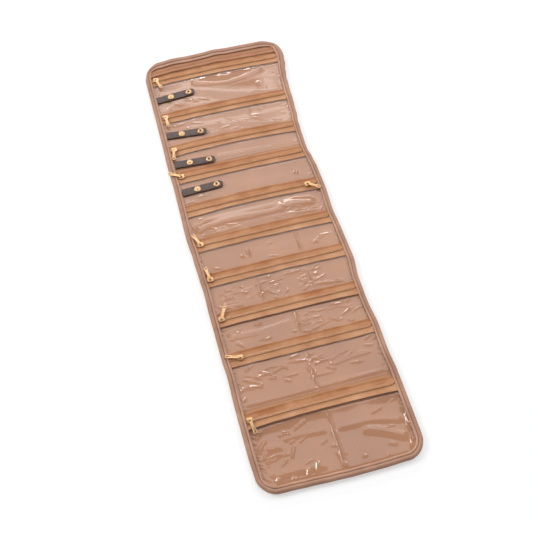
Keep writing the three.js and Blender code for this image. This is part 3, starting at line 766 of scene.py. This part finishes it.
# Windows
# Each pocket's front is a sheet of clear vinyl, sewn under the tape of the zips and into the binding. It is
# slack, so it stands in long creases and puckers along its seams; stitched lines divide the lower pockets.
INNER_HALF = HALF_WIDTH - ROLL_WIDTH - PIPING_WIDTH
FILM_BASE = 4.45
FILM_LOWEST = -0.3
FILM_HIGHEST = 3.2
FILM_THICKNESS = 0.25
FILM_STEP = 1.1
FILM_INTO_BINDING = 1.025
FILM_CORNER_INSET = 7.0
# What carries each window, and which fold crosses some of them
WINDOW_BODIES = ["panel_1"] * 3 + ["panel_2"] * 2 + ["panel_3"] * 2 + ["panel_4"] * 2 + ["panel_5"]
FOLD_IN_WINDOW = {3: 1, 6: 2, 8: 3, 9: 4}
# Where the stitched lines lie across the pockets, and where the straps lie along the roll
DIVIDERS = {6: [-33.0, 45.0], 7: [-33.0, 45.0], 8: [5.5], 9: [3.0], 10: [4.5]}
STRAP_MIDDLES = {1: 313.0, 2: 227.0, 3: 165.0, 4: 109.5}
# The film's upper edge is tucked under the tape, in two rows counted from the middle of the zip
FILM_UNDER_TAPE = 0.5
FILM_SEWN_ROWS = (-10.6, -9.5)
FILM_TUCK = 0.4
FILM_TUCK_REACH = 25.0
# It comes down from the tape in two slopes: a steep one, and a slack one whose length differs from pocket
# to pocket
STEEP_SHARE = 0.42
STEEP_CHANGE = 0.25
STEEP_REACH = 2.6
SLACK_REACH = [16, 13, 12, 14, 16, 10, 12, 9, 12, 15]
# Its broad swells, the ridges on either side of a stitched line, and how high it may stand left of an x,
# under a strap and beside it
SWELL = 0.3
SWELL_CHANGE = 0.22
RIDGE = 0.8
RIDGE_OUT = 2.8
RIDGE_WIDTH = 1.6
STRAP_SIDE = -30.0
UNDER_STRAP = 0.9
BESIDE_STRAP = 1.2
# How high each film stands against the right binding, and how it puckers at its sides, in mm
RIGHT_RISE = [0.3, 0.3, 0.3, 0.6, 0.9, 0.4, 0.4, 0.4, 1.2, 2.4]
PUCKER = [0.6, 0.5, 0.4, 0.6, 0.8, 0.8, 0.7, 0.6, 0.9, 1.0]
# How many fine wrinkles each film has, from which x to which, and between which shares of its length
WRINKLES = [(10, -100, -20, 0, 0.45), (24, -100, 60, 0.1, 1), (0, -30, 90, 0, 0.5), (3, -100, -40, 0, 0.3),
            (26, -104, 90, 0, 1), (5, -100, 90, 0, 1), (44, -104, 60, 0, 1), (32, -104, 90, 0, 1),
            (40, -104, 90, 0.4, 1), (26, -104, 95, 0, 0.9)]
# How far they keep from the lower and the upper edge, their shortest and longest, the mean and spread of
# their slant, their bend, their lowest and highest, and the widths of the slopes below and above them
WRINKLE_MARGINS = (8, 6)
WRINKLE_LENGTH = (7, 30)
WRINKLE_SLANT = (-0.1, 0.35)
WRINKLE_BEND = 1.5
WRINKLE_HEIGHT = (0.5, 1.5)
WRINKLE_BELOW = 2.6
WRINKLE_ABOVE = (2.6, 4.2)
# The creases of each film, from left to right: points along the crest, its height, and the widths of the
# slopes below and above it
CREASES = {
    1: [([(-46, 336), (-15, 327), (20, 322), (55, 327), (88, 338)], 2.4, 10, 19),
        ([(-60, 334), (-20, 319), (14, 304), (45, 298), (80, 291)], 0.6, 25, 30),
        ([(-82, 291), (-45, 284)], 0.5, 3, 4), ([(96, 309), (108, 306)], 0.5, 3, 3),
        ([(40, 285), (62, 290), (85, 285)], 0.9, 6, 10)],
    2: [([(-12, 232), (25, 225), (60, 218), (103, 207)], 0.8, 8, 5), ([(-70, 238), (0, 233)], 0.6, 14, 30),
        ([(-10, 252), (10, 236), (28, 227)], 0.4, 4, 4), ([(-40, 219), (22, 213)], 0.7, 5, 4),
        ([(-38, 241), (-28, 238)], 0.5, 3, 3)],
    3: [([(-40, 167), (60, 161)], 0.35, 6, 6), ([(-30, 159), (95, 156)], 0.4, 3, 3)],
    4: [([(-30, 100), (80, 96)], 0.25, 12, 12)],
    5: [([(-104, 27), (-85, 36), (-60, 39), (20, 37), (50, 39)], 1.9, 9, 19),
        ([(25, 40), (60, 43), (98, 38)], 2.3, 11, 15),
        ([(-100, 21), (-62, 22), (-20, 27), (30, 28), (100, 22)], 1.0, 7, 5)],
    6: [([(-90, -30), (90, -33)], 0.2, 12, 12)],
    7: [([(-104, -78), (-60, -80)], 0.4, 4, 4), ([(-104, -85), (-60, -87)], 0.4, 4, 4),
        ([(-100, -92), (-36, -89)], 0.5, 4, 4), ([(-60, -106), (-40, -101)], 0.6, 4, 4),
        ([(-15, -105), (-12, -98), (0, -95)], 0.7, 4, 4), ([(0, -111), (9, -104)], 0.8, 4, 4),
        ([(20, -109), (36, -101), (60, -98)], 0.8, 4, 4), ([(22, -114), (42, -107), (100, -113)], 0.8, 5, 4),
        ([(-104, -110), (-60, -113)], 1.0, 6, 8)],
    8: [([(-104, -160), (-50, -163), (3, -158)], 0.9, 11, 7), ([(12, -182), (60, -170)], 0.6, 4, 4),
        ([(15, -177), (45, -165)], 0.6, 4, 4), ([(-95, -168), (-78, -182)], 0.7, 5, 5),
        ([(60, -149), (90, -158)], 0.7, 4, 5)],
    9: [([(-104, -269), (-90, -273), (-40, -275), (20, -273), (60, -271), (104, -271)], 1.3, 5, 11),
        ([(-100, -222), (-75, -231)], 0.5, 4, 4), ([(-78, -227), (-70, -238)], 0.6, 4, 4),
        ([(-44, -239), (-24, -243)], 0.5, 4, 4), ([(-10, -250), (40, -252)], 0.5, 4, 4),
        ([(20, -243), (60, -237), (105, -235)], 0.5, 5, 5), ([(38, -229), (76, -222)], 0.4, 4, 4),
        ([(-60, -219), (0, -222)], 0.4, 4, 4)],
    10: [([(-70, -330), (-40, -329), (0, -333)], 0.8, 6, 9),
         ([(8, -333), (60, -334), (106, -346)], 1.0, 8, 8),
         ([(40, -342), (70, -352), (104, -372)], 1.2, 11, 8), ([(-98, -337), (-64, -337)], 1.1, 13, 8),
         ([(-62, -360), (-52, -338)], 0.8, 4, 4), ([(-96, -379), (-60, -377), (-14, -379)], 0.8, 9, 14),
         ([(-105, -323), (-90, -308)], 0.9, 4, 4), ([(-106, -341), (-86, -320)], 1.0, 5, 5),
         ([(-101, -353), (-88, -335)], 0.7, 4, 4), ([(70, -370), (84, -378)], 0.8, 4, 4)],
}
CREASE_TAPER = 12.0
# Narrow pinches at the seams, which catch white glints: points along each crest
PINCH_HEIGHT = 1.7
PINCH_WIDTH = 4.0
PINCHES = {
    1: [[(-95, 296), (-88, 283)], [(-80, 297), (-66, 289)], [(69, 292), (72, 312)]],
    4: [[(-107, 92), (-98, 82)], [(-98, 90), (-90, 82)], [(75, 103), (88, 98)]],
    5: [[(40, 40), (45, 44)], [(-66, 16), (-64, 22)], [(101, 13), (102, 27)]],
    6: [[(-50, -30), (-38, -33)], [(66, -34), (78, -37)]],
    9: [[(-105, -247), (-98, -242)], [(-105, -258), (-99, -262)], [(103, -277), (106, -269)]],
    10: [[(-35, -391), (-27, -365)], [(-48, -391), (-43, -377)], [(-68, -391), (-66, -385)],
         [(-91, -388), (-86, -381)], [(3, -392), (6, -379)], [(98, -390), (107, -370)],
         [(105, -362), (108, -333)], [(64, -391), (66, -384)]],
}


def crease_height(points, height, near, far, x, y):
    """The height of one crease at a place: it tapers off at both ends of its crest."""
    reach = max(near, far)
    if not (points[0][0] - reach < x < points[-1][0] + reach):
        return 0.0
    total = sum(math.dist(a, b) for a, b in zip(points, points[1:]))
    run, best, fade = 0.0, 0.0, min(CREASE_TAPER, total / 3)
    for (ax, ay), (bx, by) in zip(points, points[1:]):
        span = math.dist((ax, ay), (bx, by))
        along = max(0.0, min(span, ((x - ax) * (bx - ax) + (y - ay) * (by - ay)) / span))
        gap = math.dist((x, y), (ax + (bx - ax) * along / span, ay + (by - ay) * along / span))
        above = (y - ay) * (bx - ax) > (x - ax) * (by - ay)
        place = run + along
        taper = eased(place / fade) * eased((total - place) / fade)
        best = max(best, eased(1 - gap / (far if above else near)) * taper)
        run += span
    return height * best


def fine_wrinkles(pocket, low, high):
    """Short shallow creases, scattered over a film in the same way each time."""
    scatter = random.Random(40 + pocket)
    count, left, right, first, last = WRINKLES[pocket - 1]
    room = high - low - sum(WRINKLE_MARGINS)
    wrinkles = []
    for _ in range(count):
        x = scatter.uniform(left, right)
        y = low + WRINKLE_MARGINS[0] + room * scatter.uniform(first, last)
        length = scatter.uniform(*WRINKLE_LENGTH)
        slant = scatter.gauss(*WRINKLE_SLANT)
        bend = scatter.uniform(-WRINKLE_BEND, WRINKLE_BEND)
        crest = [(x, y), (x + length / 2, y + length * slant / 2 + bend), (x + length, y + length * slant)]
        height = scatter.uniform(*WRINKLE_HEIGHT)
        wrinkles.append((crest, height, WRINKLE_BELOW, scatter.uniform(*WRINKLE_ABOVE)))
    return wrinkles


def film_height(pocket, creases, x, y, low, high):
    """How high the slack film stands at a place, in mm."""
    seams = DIVIDERS.get(pocket, [])
    to_side = max(0.0, INNER_HALF - abs(x))
    to_seam = min([to_side] + [abs(x - seam) for seam in seams])
    lift = (SWELL + SWELL_CHANGE * wave(x / 60, y / 28, 2.4 + 1.7 * pocket)) * eased(to_seam / 9)
    for seam in seams:
        ridge = math.exp(-(((abs(x - seam) - RIDGE_OUT) / RIDGE_WIDTH) ** 2))
        lift += RIDGE * ridge * (0.8 + 0.6 * wave(y / 11, seam, 3.0))
    against_binding = eased((x - INNER_HALF + 8) / 8) * (0.75 + 0.9 * wave(y / 12, 70.0 + pocket))
    lift += RIGHT_RISE[pocket - 1] * against_binding
    folds = max(crease_height(*crease, x, y) for crease in creases)
    pinches = max((crease_height(pinch, PINCH_HEIGHT, PINCH_WIDTH, PINCH_WIDTH, x, y)
                   for pinch in PINCHES.get(pocket, [])), default=0.0)
    lift += folds * eased(to_seam / 4) + pinches * eased(to_side / 2)
    lift *= eased((y - low - 2) / 6) * eased((high - y) / 5)
    pucker = math.exp(-to_side / 7) * wave(x / 6, (y - 0.4 * abs(x)) / 4.5, 21.0 + pocket)
    lift += PUCKER[pocket - 1] * pucker * eased(min(y - low, high - y) / 6)
    if pocket in STRAP_MIDDLES and x < STRAP_SIDE:
        beside = eased((abs(y - STRAP_MIDDLES[pocket]) - 8) / 10)
        lift = min(lift, UNDER_STRAP + BESIDE_STRAP * beside)
    return FILM_BASE + max(FILM_LOWEST, min(lift, FILM_HIGHEST))


def hang(pocket, x, below, drop):
    """How much of the drop from the tape is left at a distance below its edge, in mm."""
    steep = STEEP_SHARE + STEEP_CHANGE * wave(x / 35, 90.0 + pocket)
    steep_part = steep * max(0.0, 1 - below / STEEP_REACH) ** 2
    slack_part = (1 - steep) * max(0.0, 1 - below / SLACK_REACH[pocket - 1]) ** 1.3
    return drop * (steep_part + slack_part)


# Clear vinyl film, calendered smooth: it lets the lining show, and mirrors the lights as any plastic of
# IOR 1.5 does, a little more strongly, so its ripples catch broad pale glare and thin white glints.
clear_vinyl, tree, surface = bare_material("clear_vinyl_film")
surface.inputs["Base Color"].default_value = linear("#ffffff")
surface.inputs["Roughness"].default_value = 0.06
surface.inputs["Metallic"].default_value = 1.0
through = add_node(tree, "ShaderNodeBsdfTransparent", {"Color": linear("#fdfaf8")})
edge_on = add_node(tree, "ShaderNodeFresnel", {"IOR": 1.5})
under_face = add_node(tree, "ShaderNodeNewGeometry").outputs["Backfacing"]
upper_face = add_node(tree, "ShaderNodeMapRange", {"Value": under_face, "To Min": 1.7, "To Max": 0.0})
mirrored = add_node(tree, "ShaderNodeMath", {0: edge_on.outputs[0], 1: upper_face.outputs[0]},
                    operation="MULTIPLY", use_clamp=True)
film = add_node(tree, "ShaderNodeMixShader", {
    0: mirrored.outputs[0], 1: through.outputs[0], 2: surface.outputs[0]})
tree.links.new(film.outputs[0], tree.nodes["Material Output"].inputs["Surface"])

for pocket in range(1, 11):
    low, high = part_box(f"window_{pocket}")[0].y / mm, ZIP_PLACES[pocket - 1] - TAPE_HALF
    creases = CREASES[pocket] + fine_wrinkles(pocket, low, high)
    rows = steps(low, high, FILM_STEP)
    columns = [INNER_HALF * FILM_INTO_BINDING * i / 100 for i in range(-100, 101)]
    points, film_marks = [], []
    for y in rows:
        wide = outline_half(y, FILM_CORNER_INSET) if pocket == 10 else math.inf
        for x in columns:
            x = max(-wide, min(wide, x))
            _, edge_y, edge_z = tape_spot(pocket, x, -TAPE_HALF)
            slide = (edge_y - FILM_TUCK - high) * eased(1 - (high - y) / FILM_TUCK_REACH)
            height = film_height(pocket, creases, x, y, low, high)
            height += hang(pocket, x, high - y, edge_z - FILM_UNDER_TAPE - FILM_BASE)
            points.append((*drawn(x, y + slide), height))
            film_marks.append((x, y))
    for across in FILM_SEWN_ROWS:
        for x in columns:
            x, y, z = tape_spot(pocket, x, across)
            points.append((x, y, z - FILM_UNDER_TAPE))
            film_marks.append((x, high + TAPE_HALF + across))
    sheet_faces = grid_faces(len(rows) + len(FILM_SEWN_ROWS), len(columns))
    window = soft_piece(f"film_{pocket}", points, sheet_faces, film_marks)
    window.data.materials.append(clear_vinyl)
    alone(window)
    bpy.ops.object.mode_set(mode="EDIT")
    bpy.ops.mesh.select_all(action="SELECT")
    bpy.ops.mesh.remove_doubles(threshold=0.00001)
    bpy.ops.object.mode_set(mode="OBJECT")
    thicken(window, "film", FILM_THICKNESS)
    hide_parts(f"window_{pocket}")
    if pocket in FOLD_IN_WINDOW:
        bend_at_fold(window)
    else:
        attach(window, WINDOW_BODIES[pocket - 1])

# Divider stitching
# The lower pockets are parted by lines of tan thread sewn through the film, the lining and the cover,
# in stitches about 3 mm long that lie in the valley the seam draws in the film.
STITCH = 3.0
STITCH_GAP = 1.3
STITCH_RADIUS = 0.4
STITCH_ROUNDING = 0.15
STITCH_HEIGHT = FILM_BASE + 0.22
SEAM_END = 14.0
HEM_SEAM_END = 8.0
SEAM_WANDER = 0.4

# Spun polyester thread: dull, with a faint twist of about 1 mm.
THREAD_TWIST = 1.11
tan_thread, tree, surface = bare_material("polyester_thread_tan")
place = add_node(tree, "ShaderNodeTexCoord").outputs["Object"]
twist = add_node(tree, "ShaderNodeTexNoise", {"Vector": place, "Scale": patch_scale(THREAD_TWIST)})
tone = add_node(tree, "ShaderNodeValToRGB", {"Fac": twist.outputs["Fac"]})
deep, light = tone.color_ramp.elements
deep.color, light.color = linear("#9d7150"), linear("#c99f7e")
tree.links.new(tone.outputs["Color"], surface.inputs["Base Color"])
surface.inputs["Roughness"].default_value = 0.7

bpy.ops.object.select_all(action="DESELECT")
bpy.ops.mesh.primitive_cylinder_add(vertices=6, radius=STITCH_RADIUS * mm, depth=STITCH * mm,
                                    location=(0, 0, 0), rotation=(math.pi / 2, 0, 0))
stitch = bpy.context.object
bpy.ops.object.transform_apply(location=True, rotation=True, scale=True)
bpy.ops.object.mode_set(mode="EDIT")
bpy.ops.mesh.select_all(action="SELECT")
bpy.ops.mesh.bevel(offset=STITCH_ROUNDING * mm, segments=1, affect="EDGES")
bpy.ops.object.mode_set(mode="OBJECT")
bpy.ops.object.shade_smooth()

for pocket, places in DIVIDERS.items():
    node_low, node_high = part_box(f"window_{pocket}")
    low = node_low.y / mm + (HEM_SEAM_END if pocket == 10 else SEAM_END)
    high = node_high.y / mm - SEAM_END
    stitches = []
    for line in places:
        for y in steps(low, high, STITCH + STITCH_GAP)[:-1]:
            x, _ = drawn(line + SEAM_WANDER * wave(y / 20, line), y)
            stitches.append(copy_of(stitch, "stitch", Vector((x, y + STITCH / 2, STITCH_HEIGHT)) * mm))
    seam = joined(f"divider_seam_{pocket}", stitches)
    seam.data.materials.append(tan_thread)
    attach(seam, WINDOW_BODIES[pocket - 1])
bpy.data.objects.remove(stitch)

# Sliders and pulls
# Each slider is die-cast zinc plated in pale gold, with an arched bail that holds a flat dog-bone pull
# stamped from sheet and plated to match. Their edges are tumbled smooth before plating.
EDGE_ROUNDING = {"slider": 0.22, "pull": 0.24}

# Gold-plated zinc, tumbled and polished: a bright warm metal, duller in fine scuffs about 2 mm long.
SCUFFS = 2.0
pale_gold, tree, surface = bare_material("pale_gold_plating")
place = add_node(tree, "ShaderNodeTexCoord").outputs["Object"]
scuffs = add_node(tree, "ShaderNodeTexNoise", {"Vector": place, "Scale": patch_scale(SCUFFS), "Detail": 3.0})
tone = add_node(tree, "ShaderNodeValToRGB", {"Fac": scuffs.outputs["Fac"]})
deep, light = tone.color_ramp.elements
deep.position, deep.color = 0.25, linear("#b98e64")
light.position, light.color = 0.8, linear("#e2bb90")
tree.links.new(tone.outputs["Color"], surface.inputs["Base Color"])
dull = add_node(tree, "ShaderNodeMapRange", {"Value": scuffs.outputs["Fac"], "To Min": 0.22, "To Max": 0.36})
tree.links.new(dull.outputs[0], surface.inputs["Roughness"])
surface.inputs["Metallic"].default_value = 1.0


def tumbled_copy(node, name, rounding):
    """A copy of a CAD node with its flat faces made whole and its edges rounded."""
    copy = copy_of(frame["nodes"][node], name)
    copy.parent = None
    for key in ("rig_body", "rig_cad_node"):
        del copy[key]
    alone(copy)
    bpy.ops.object.mode_set(mode="EDIT")
    bpy.ops.mesh.select_all(action="SELECT")
    bpy.ops.mesh.remove_doubles(threshold=0.000002)
    bpy.ops.mesh.dissolve_limited(angle_limit=math.radians(1))
    bpy.ops.object.mode_set(mode="OBJECT")
    round_edges(copy, "tumbled edges", rounding, 2, 35)
    bpy.ops.object.shade_smooth_by_angle(angle=math.radians(50))
    copy.data.materials.clear()
    return copy


for number in range(1, 11):
    for kind, body in (("slider", f"runner_{number}"), ("pull", f"tab_{number}")):
        metal = tumbled_copy(f"{kind}_{number}", f"gold_{kind}_{number}", EDGE_ROUNDING[kind])
        metal.data.materials.append(pale_gold)
        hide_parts(f"{kind}_{number}")
        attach(metal, body)

# Straps
# Four short straps of dark taupe leatherette are sewn into the left binding. Each folds back on itself, so
# that rings can be threaded on it, and is modelled as one flat strip with its snap's stud and ring on it.
STRAP_LENGTH = 68.0
STRAP_HALF = 6.5
STRAP_LOW = 6.3
STRAP_HIGH = 7.3
STRAP_ROUNDING = 0.35
STRAP_WAVE = 0.1
STRAP_CROWN = 0.05
STUD_PLACE = 25.5
RING_PLACE = 57.5
STRAP_ROOT_GAP = 0.3
# How far each strap's root lies below its zip, its angle in degrees, and what it is sewn to
STRAPS = [(46.2, 5.3, "panel_1"), (38.5, -5.0, "panel_1"), (30.0, -3.0, "panel_1"), (31.3, 2.5, "panel_2")]
# Profiles of (radius, height) in mm, from the middle out for the stud and once round for the ring
STUD = [(0, 0), (5.2, 0), (5.25, 0.25), (5.0, 0.55), (4.5, 0.66), (4.0, 0.5), (3.4, 0.42), (2.6, 0.5),
        (1.6, 0.6), (1.45, 0.8), (1.45, 1.2), (1.7, 1.5), (1.55, 1.8), (0.9, 1.9), (0, 1.92)]
RING = [(2.1, -0.1), (5.2, -0.1), (5.25, 0.4), (4.9, 0.85), (4.2, 1.15), (3.5, 1.15), (2.7, 0.85),
        (2.2, 0.45), (2.1, -0.1)]

# Leatherette: polyurethane skin embossed with a grain of about 1.4 mm, dull, its edges turned under and its
# shade shifting in patches of 6 mm. Its patterns follow the UV map, which is in cm.
GRAIN = 1.43
LEATHER_CLOUDS = 6.25
taupe_leather, tree, surface = bare_material("leatherette_taupe")
marks = add_node(tree, "ShaderNodeUVMap").outputs["UV"]
grain = add_node(tree, "ShaderNodeTexVoronoi", {"Vector": marks, "Scale": 10 / GRAIN},
                 feature="DISTANCE_TO_EDGE")
cloud = add_node(tree, "ShaderNodeTexNoise", {"Vector": marks, "Scale": 10 / LEATHER_CLOUDS, "Detail": 3.0})
tone = add_node(tree, "ShaderNodeValToRGB", {"Fac": cloud.outputs["Fac"]})
deep, light = tone.color_ramp.elements
deep.position, deep.color = 0.3, linear("#4b3c38")
light.position, light.color = 0.75, linear("#5e4c46")
tree.links.new(tone.outputs["Color"], surface.inputs["Base Color"])
skin = add_node(tree, "ShaderNodeBump", {
    "Height": grain.outputs["Distance"], "Strength": 0.35, "Distance": 0.3 * mm})
tree.links.new(skin.outputs[0], surface.inputs["Normal"])
surface.inputs["Roughness"].default_value = 0.55


def turned_piece(name, profile):
    """A piece turned about the upright axis, from its profile of (radius, height) in mm."""
    mesh = bpy.data.meshes.new(name)
    mesh.from_pydata([(radius * mm, 0, height * mm) for radius, height in profile],
                     [(i, i + 1) for i in range(len(profile) - 1)], [])
    piece = bpy.data.objects.new(name, mesh)
    bpy.context.scene.collection.objects.link(piece)
    alone(piece)
    bpy.ops.object.mode_set(mode="EDIT")
    bpy.ops.mesh.select_all(action="SELECT")
    bpy.ops.mesh.spin(steps=32, angle=math.tau, center=(0, 0, 0), axis=(0, 0, 1))
    bpy.ops.mesh.select_all(action="SELECT")
    bpy.ops.mesh.remove_doubles(threshold=0.000005)
    bpy.ops.mesh.normals_make_consistent(inside=False)
    bpy.ops.object.mode_set(mode="OBJECT")
    bpy.ops.object.shade_smooth_by_angle(angle=math.radians(40))
    return piece


stud, ring = turned_piece("stud", STUD), turned_piece("ring", RING)
for number, (below_zip, angle, body) in enumerate(STRAPS, 1):
    turn = math.radians(angle)
    root_x = STRAP_ROOT_GAP - INNER_HALF + STRAP_HALF * abs(math.sin(turn))
    root = Vector((root_x, ZIP_PLACES[number - 1] - below_zip, 0))
    forward = Vector((math.cos(turn), math.sin(turn), 0))
    sideways = Vector((-math.sin(turn), math.cos(turn), 0))
    tip, last = STRAP_LENGTH - 8, STRAP_LENGTH - 0.5
    lengths = steps(0, tip, 2.0) + steps(tip, last, 0.5)[1:] + [STRAP_LENGTH - 0.2, STRAP_LENGTH - 0.03]
    points, strap_marks = [], []
    for s in lengths:
        past_square = max(0.0, s - STRAP_LENGTH + STRAP_HALF)
        half = math.sqrt(max(0.01, STRAP_HALF ** 2 - past_square ** 2))
        for i in range(9):
            v = half * (i / 4 - 1)
            lift = STRAP_WAVE * wave(s / 20, 3.0 * number) + STRAP_CROWN * math.cos(v / STRAP_HALF * math.pi)
            spot = root + forward * s + sideways * v
            points.append((spot.x, spot.y, STRAP_HIGH - STRAP_WAVE + lift))
            strap_marks.append((s, v + 20 * number))
    sheet_faces = [face[::-1] for face in grid_faces(len(lengths), 9)]
    strap = soft_piece(f"strap_strip_{number}", points, sheet_faces, strap_marks)
    thicken(strap, "leatherette", STRAP_HIGH - STRAP_LOW)
    round_edges(strap, "turned edges", STRAP_ROUNDING, 3, 50)
    strap.data.materials.append(taupe_leather)
    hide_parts(f"strap_{number}", f"strap_flap_{number}")
    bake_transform(strap)
    snap_halves = (("stud", stud, STUD_PLACE, body), ("ring", ring, RING_PLACE, f"flap_{number}"))
    for kind, made, along, rider in snap_halves:
        centre = (root + forward * along + Vector((0, 0, STRAP_HIGH))) * mm
        snap = copy_of(made, f"snap_{kind}_{number}", centre)
        snap.data.materials.append(pale_gold)
        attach(snap, rider)
for made in (stud, ring):
    bpy.data.objects.remove(made)

# Stage
# A white floor under the opened roll. It looks plain white to the camera and to shiny surfaces, and keeps
# the soft shadow that the roll casts to its right.
FLOOR_SIZE = 8.0
FLOOR_DROP = 0.2
FLOOR_GLOW = 1.15
GLOW_SHARE = 0.42
bpy.ops.object.select_all(action="DESELECT")
bpy.ops.mesh.primitive_plane_add(size=FLOOR_SIZE, location=(0, 0, -FLOOR_DROP * mm))
floor = bpy.context.object
floor.name = "floor"

# White paper: matt, with a share of glow that only the camera and mirrored or clear surfaces see.
white_floor, tree, surface = bare_material("white_paper_floor")
surface.inputs["Base Color"].default_value = linear("#f4f4f4")
surface.inputs["Roughness"].default_value = 0.9
surface.inputs["Specular IOR Level"].default_value = 0.1
ray = add_node(tree, "ShaderNodeLightPath")
seen = ray.outputs["Is Camera Ray"]
for kind in ("Is Glossy Ray", "Is Transmission Ray"):
    seen = add_node(tree, "ShaderNodeMath", {0: seen, 1: ray.outputs[kind]}, operation="MAXIMUM").outputs[0]
share = add_node(tree, "ShaderNodeMath", {0: seen, 1: GLOW_SHARE}, operation="MULTIPLY")
glow = add_node(tree, "ShaderNodeEmission", {"Color": linear("#ffffff"), "Strength": FLOOR_GLOW})
paper = add_node(tree, "ShaderNodeMixShader", {
    0: share.outputs[0], 1: surface.outputs[0], 2: glow.outputs[0]})
tree.links.new(paper.outputs[0], tree.nodes["Material Output"].inputs["Surface"])
floor.data.materials.append(white_floor)

# Light and camera
# A pale room that is white to the camera, a far window behind the roll that the flat film mirrors, a key
# light from the upper left and a fill from the right. The camera stands where the picture was taken from.
ROOM_LIGHT = 0.41
WINDOW_SIDE = 14.0
world = bpy.data.worlds.new("pale_room")
bpy.context.scene.world = world
world.use_nodes = True
tree = world.node_tree
to_camera = add_node(tree, "ShaderNodeLightPath").outputs["Is Camera Ray"]
level = add_node(tree, "ShaderNodeMapRange", {"Value": to_camera, "To Min": ROOM_LIGHT, "To Max": 1.0})
tree.nodes["Background"].inputs["Color"].default_value = linear("#ffffff")
tree.links.new(level.outputs[0], tree.nodes["Background"].inputs["Strength"])


def softbox(name, place, size, watts):
    """A softbox that faces the middle of the roll."""
    lamp = bpy.data.lights.new(name, "AREA")
    lamp.shape, lamp.energy = "RECTANGLE", watts
    lamp.size, lamp.size_y = size
    stand = bpy.data.objects.new(name, lamp)
    bpy.context.scene.collection.objects.link(stand)
    stand.location = place
    stand.rotation_euler = (-Vector(place)).to_track_quat("-Z", "Y").to_euler()


def far_place(azimuth, elevation, distance):
    """A place seen from the roll at an azimuth from +Y towards +X and an elevation, in degrees."""
    turn, rise = math.radians(azimuth), math.radians(elevation)
    level_part = distance * math.cos(rise)
    return level_part * math.sin(turn), level_part * math.cos(turn), distance * math.sin(rise)


softbox("window_wall", far_place(WINDOW_SIDE, 60.0, 12.0), (8.0, 7.5), 236.0)
softbox("window_low_part", far_place(WINDOW_SIDE, 50.0, 11.5), (7.0, 2.8), 8.0)
softbox("window_sill", far_place(WINDOW_SIDE, 46.7, 11.0), (6.5, 0.67), 20.0)
softbox("window_foot", far_place(WINDOW_SIDE, 38.5, 11.0), (6.5, 0.5), 76.0)
softbox("back_softbox", far_place(8.0, 20.0, 5.0), (3.0, 0.8), 70.0)
softbox("right_softbox", (3.0, 1.0, 2.4), (1.2, 1.8), 34.0)
softbox("key_softbox", (-3.0, 1.8, 2.6), (1.8, 1.4), 98.0)

lens = bpy.data.cameras.new("camera")
lens.sensor_width, lens.lens = 36.0, 57.4
camera = bpy.data.objects.new("camera", lens)
bpy.context.scene.collection.objects.link(camera)
camera.location = (-0.1912, -0.6995, 1.1178)
camera.rotation_euler = (math.radians(30.84), 0, math.radians(-15.47))
bpy.context.scene.camera = camera
bpy.context.scene.view_settings.view_transform = "Standard"
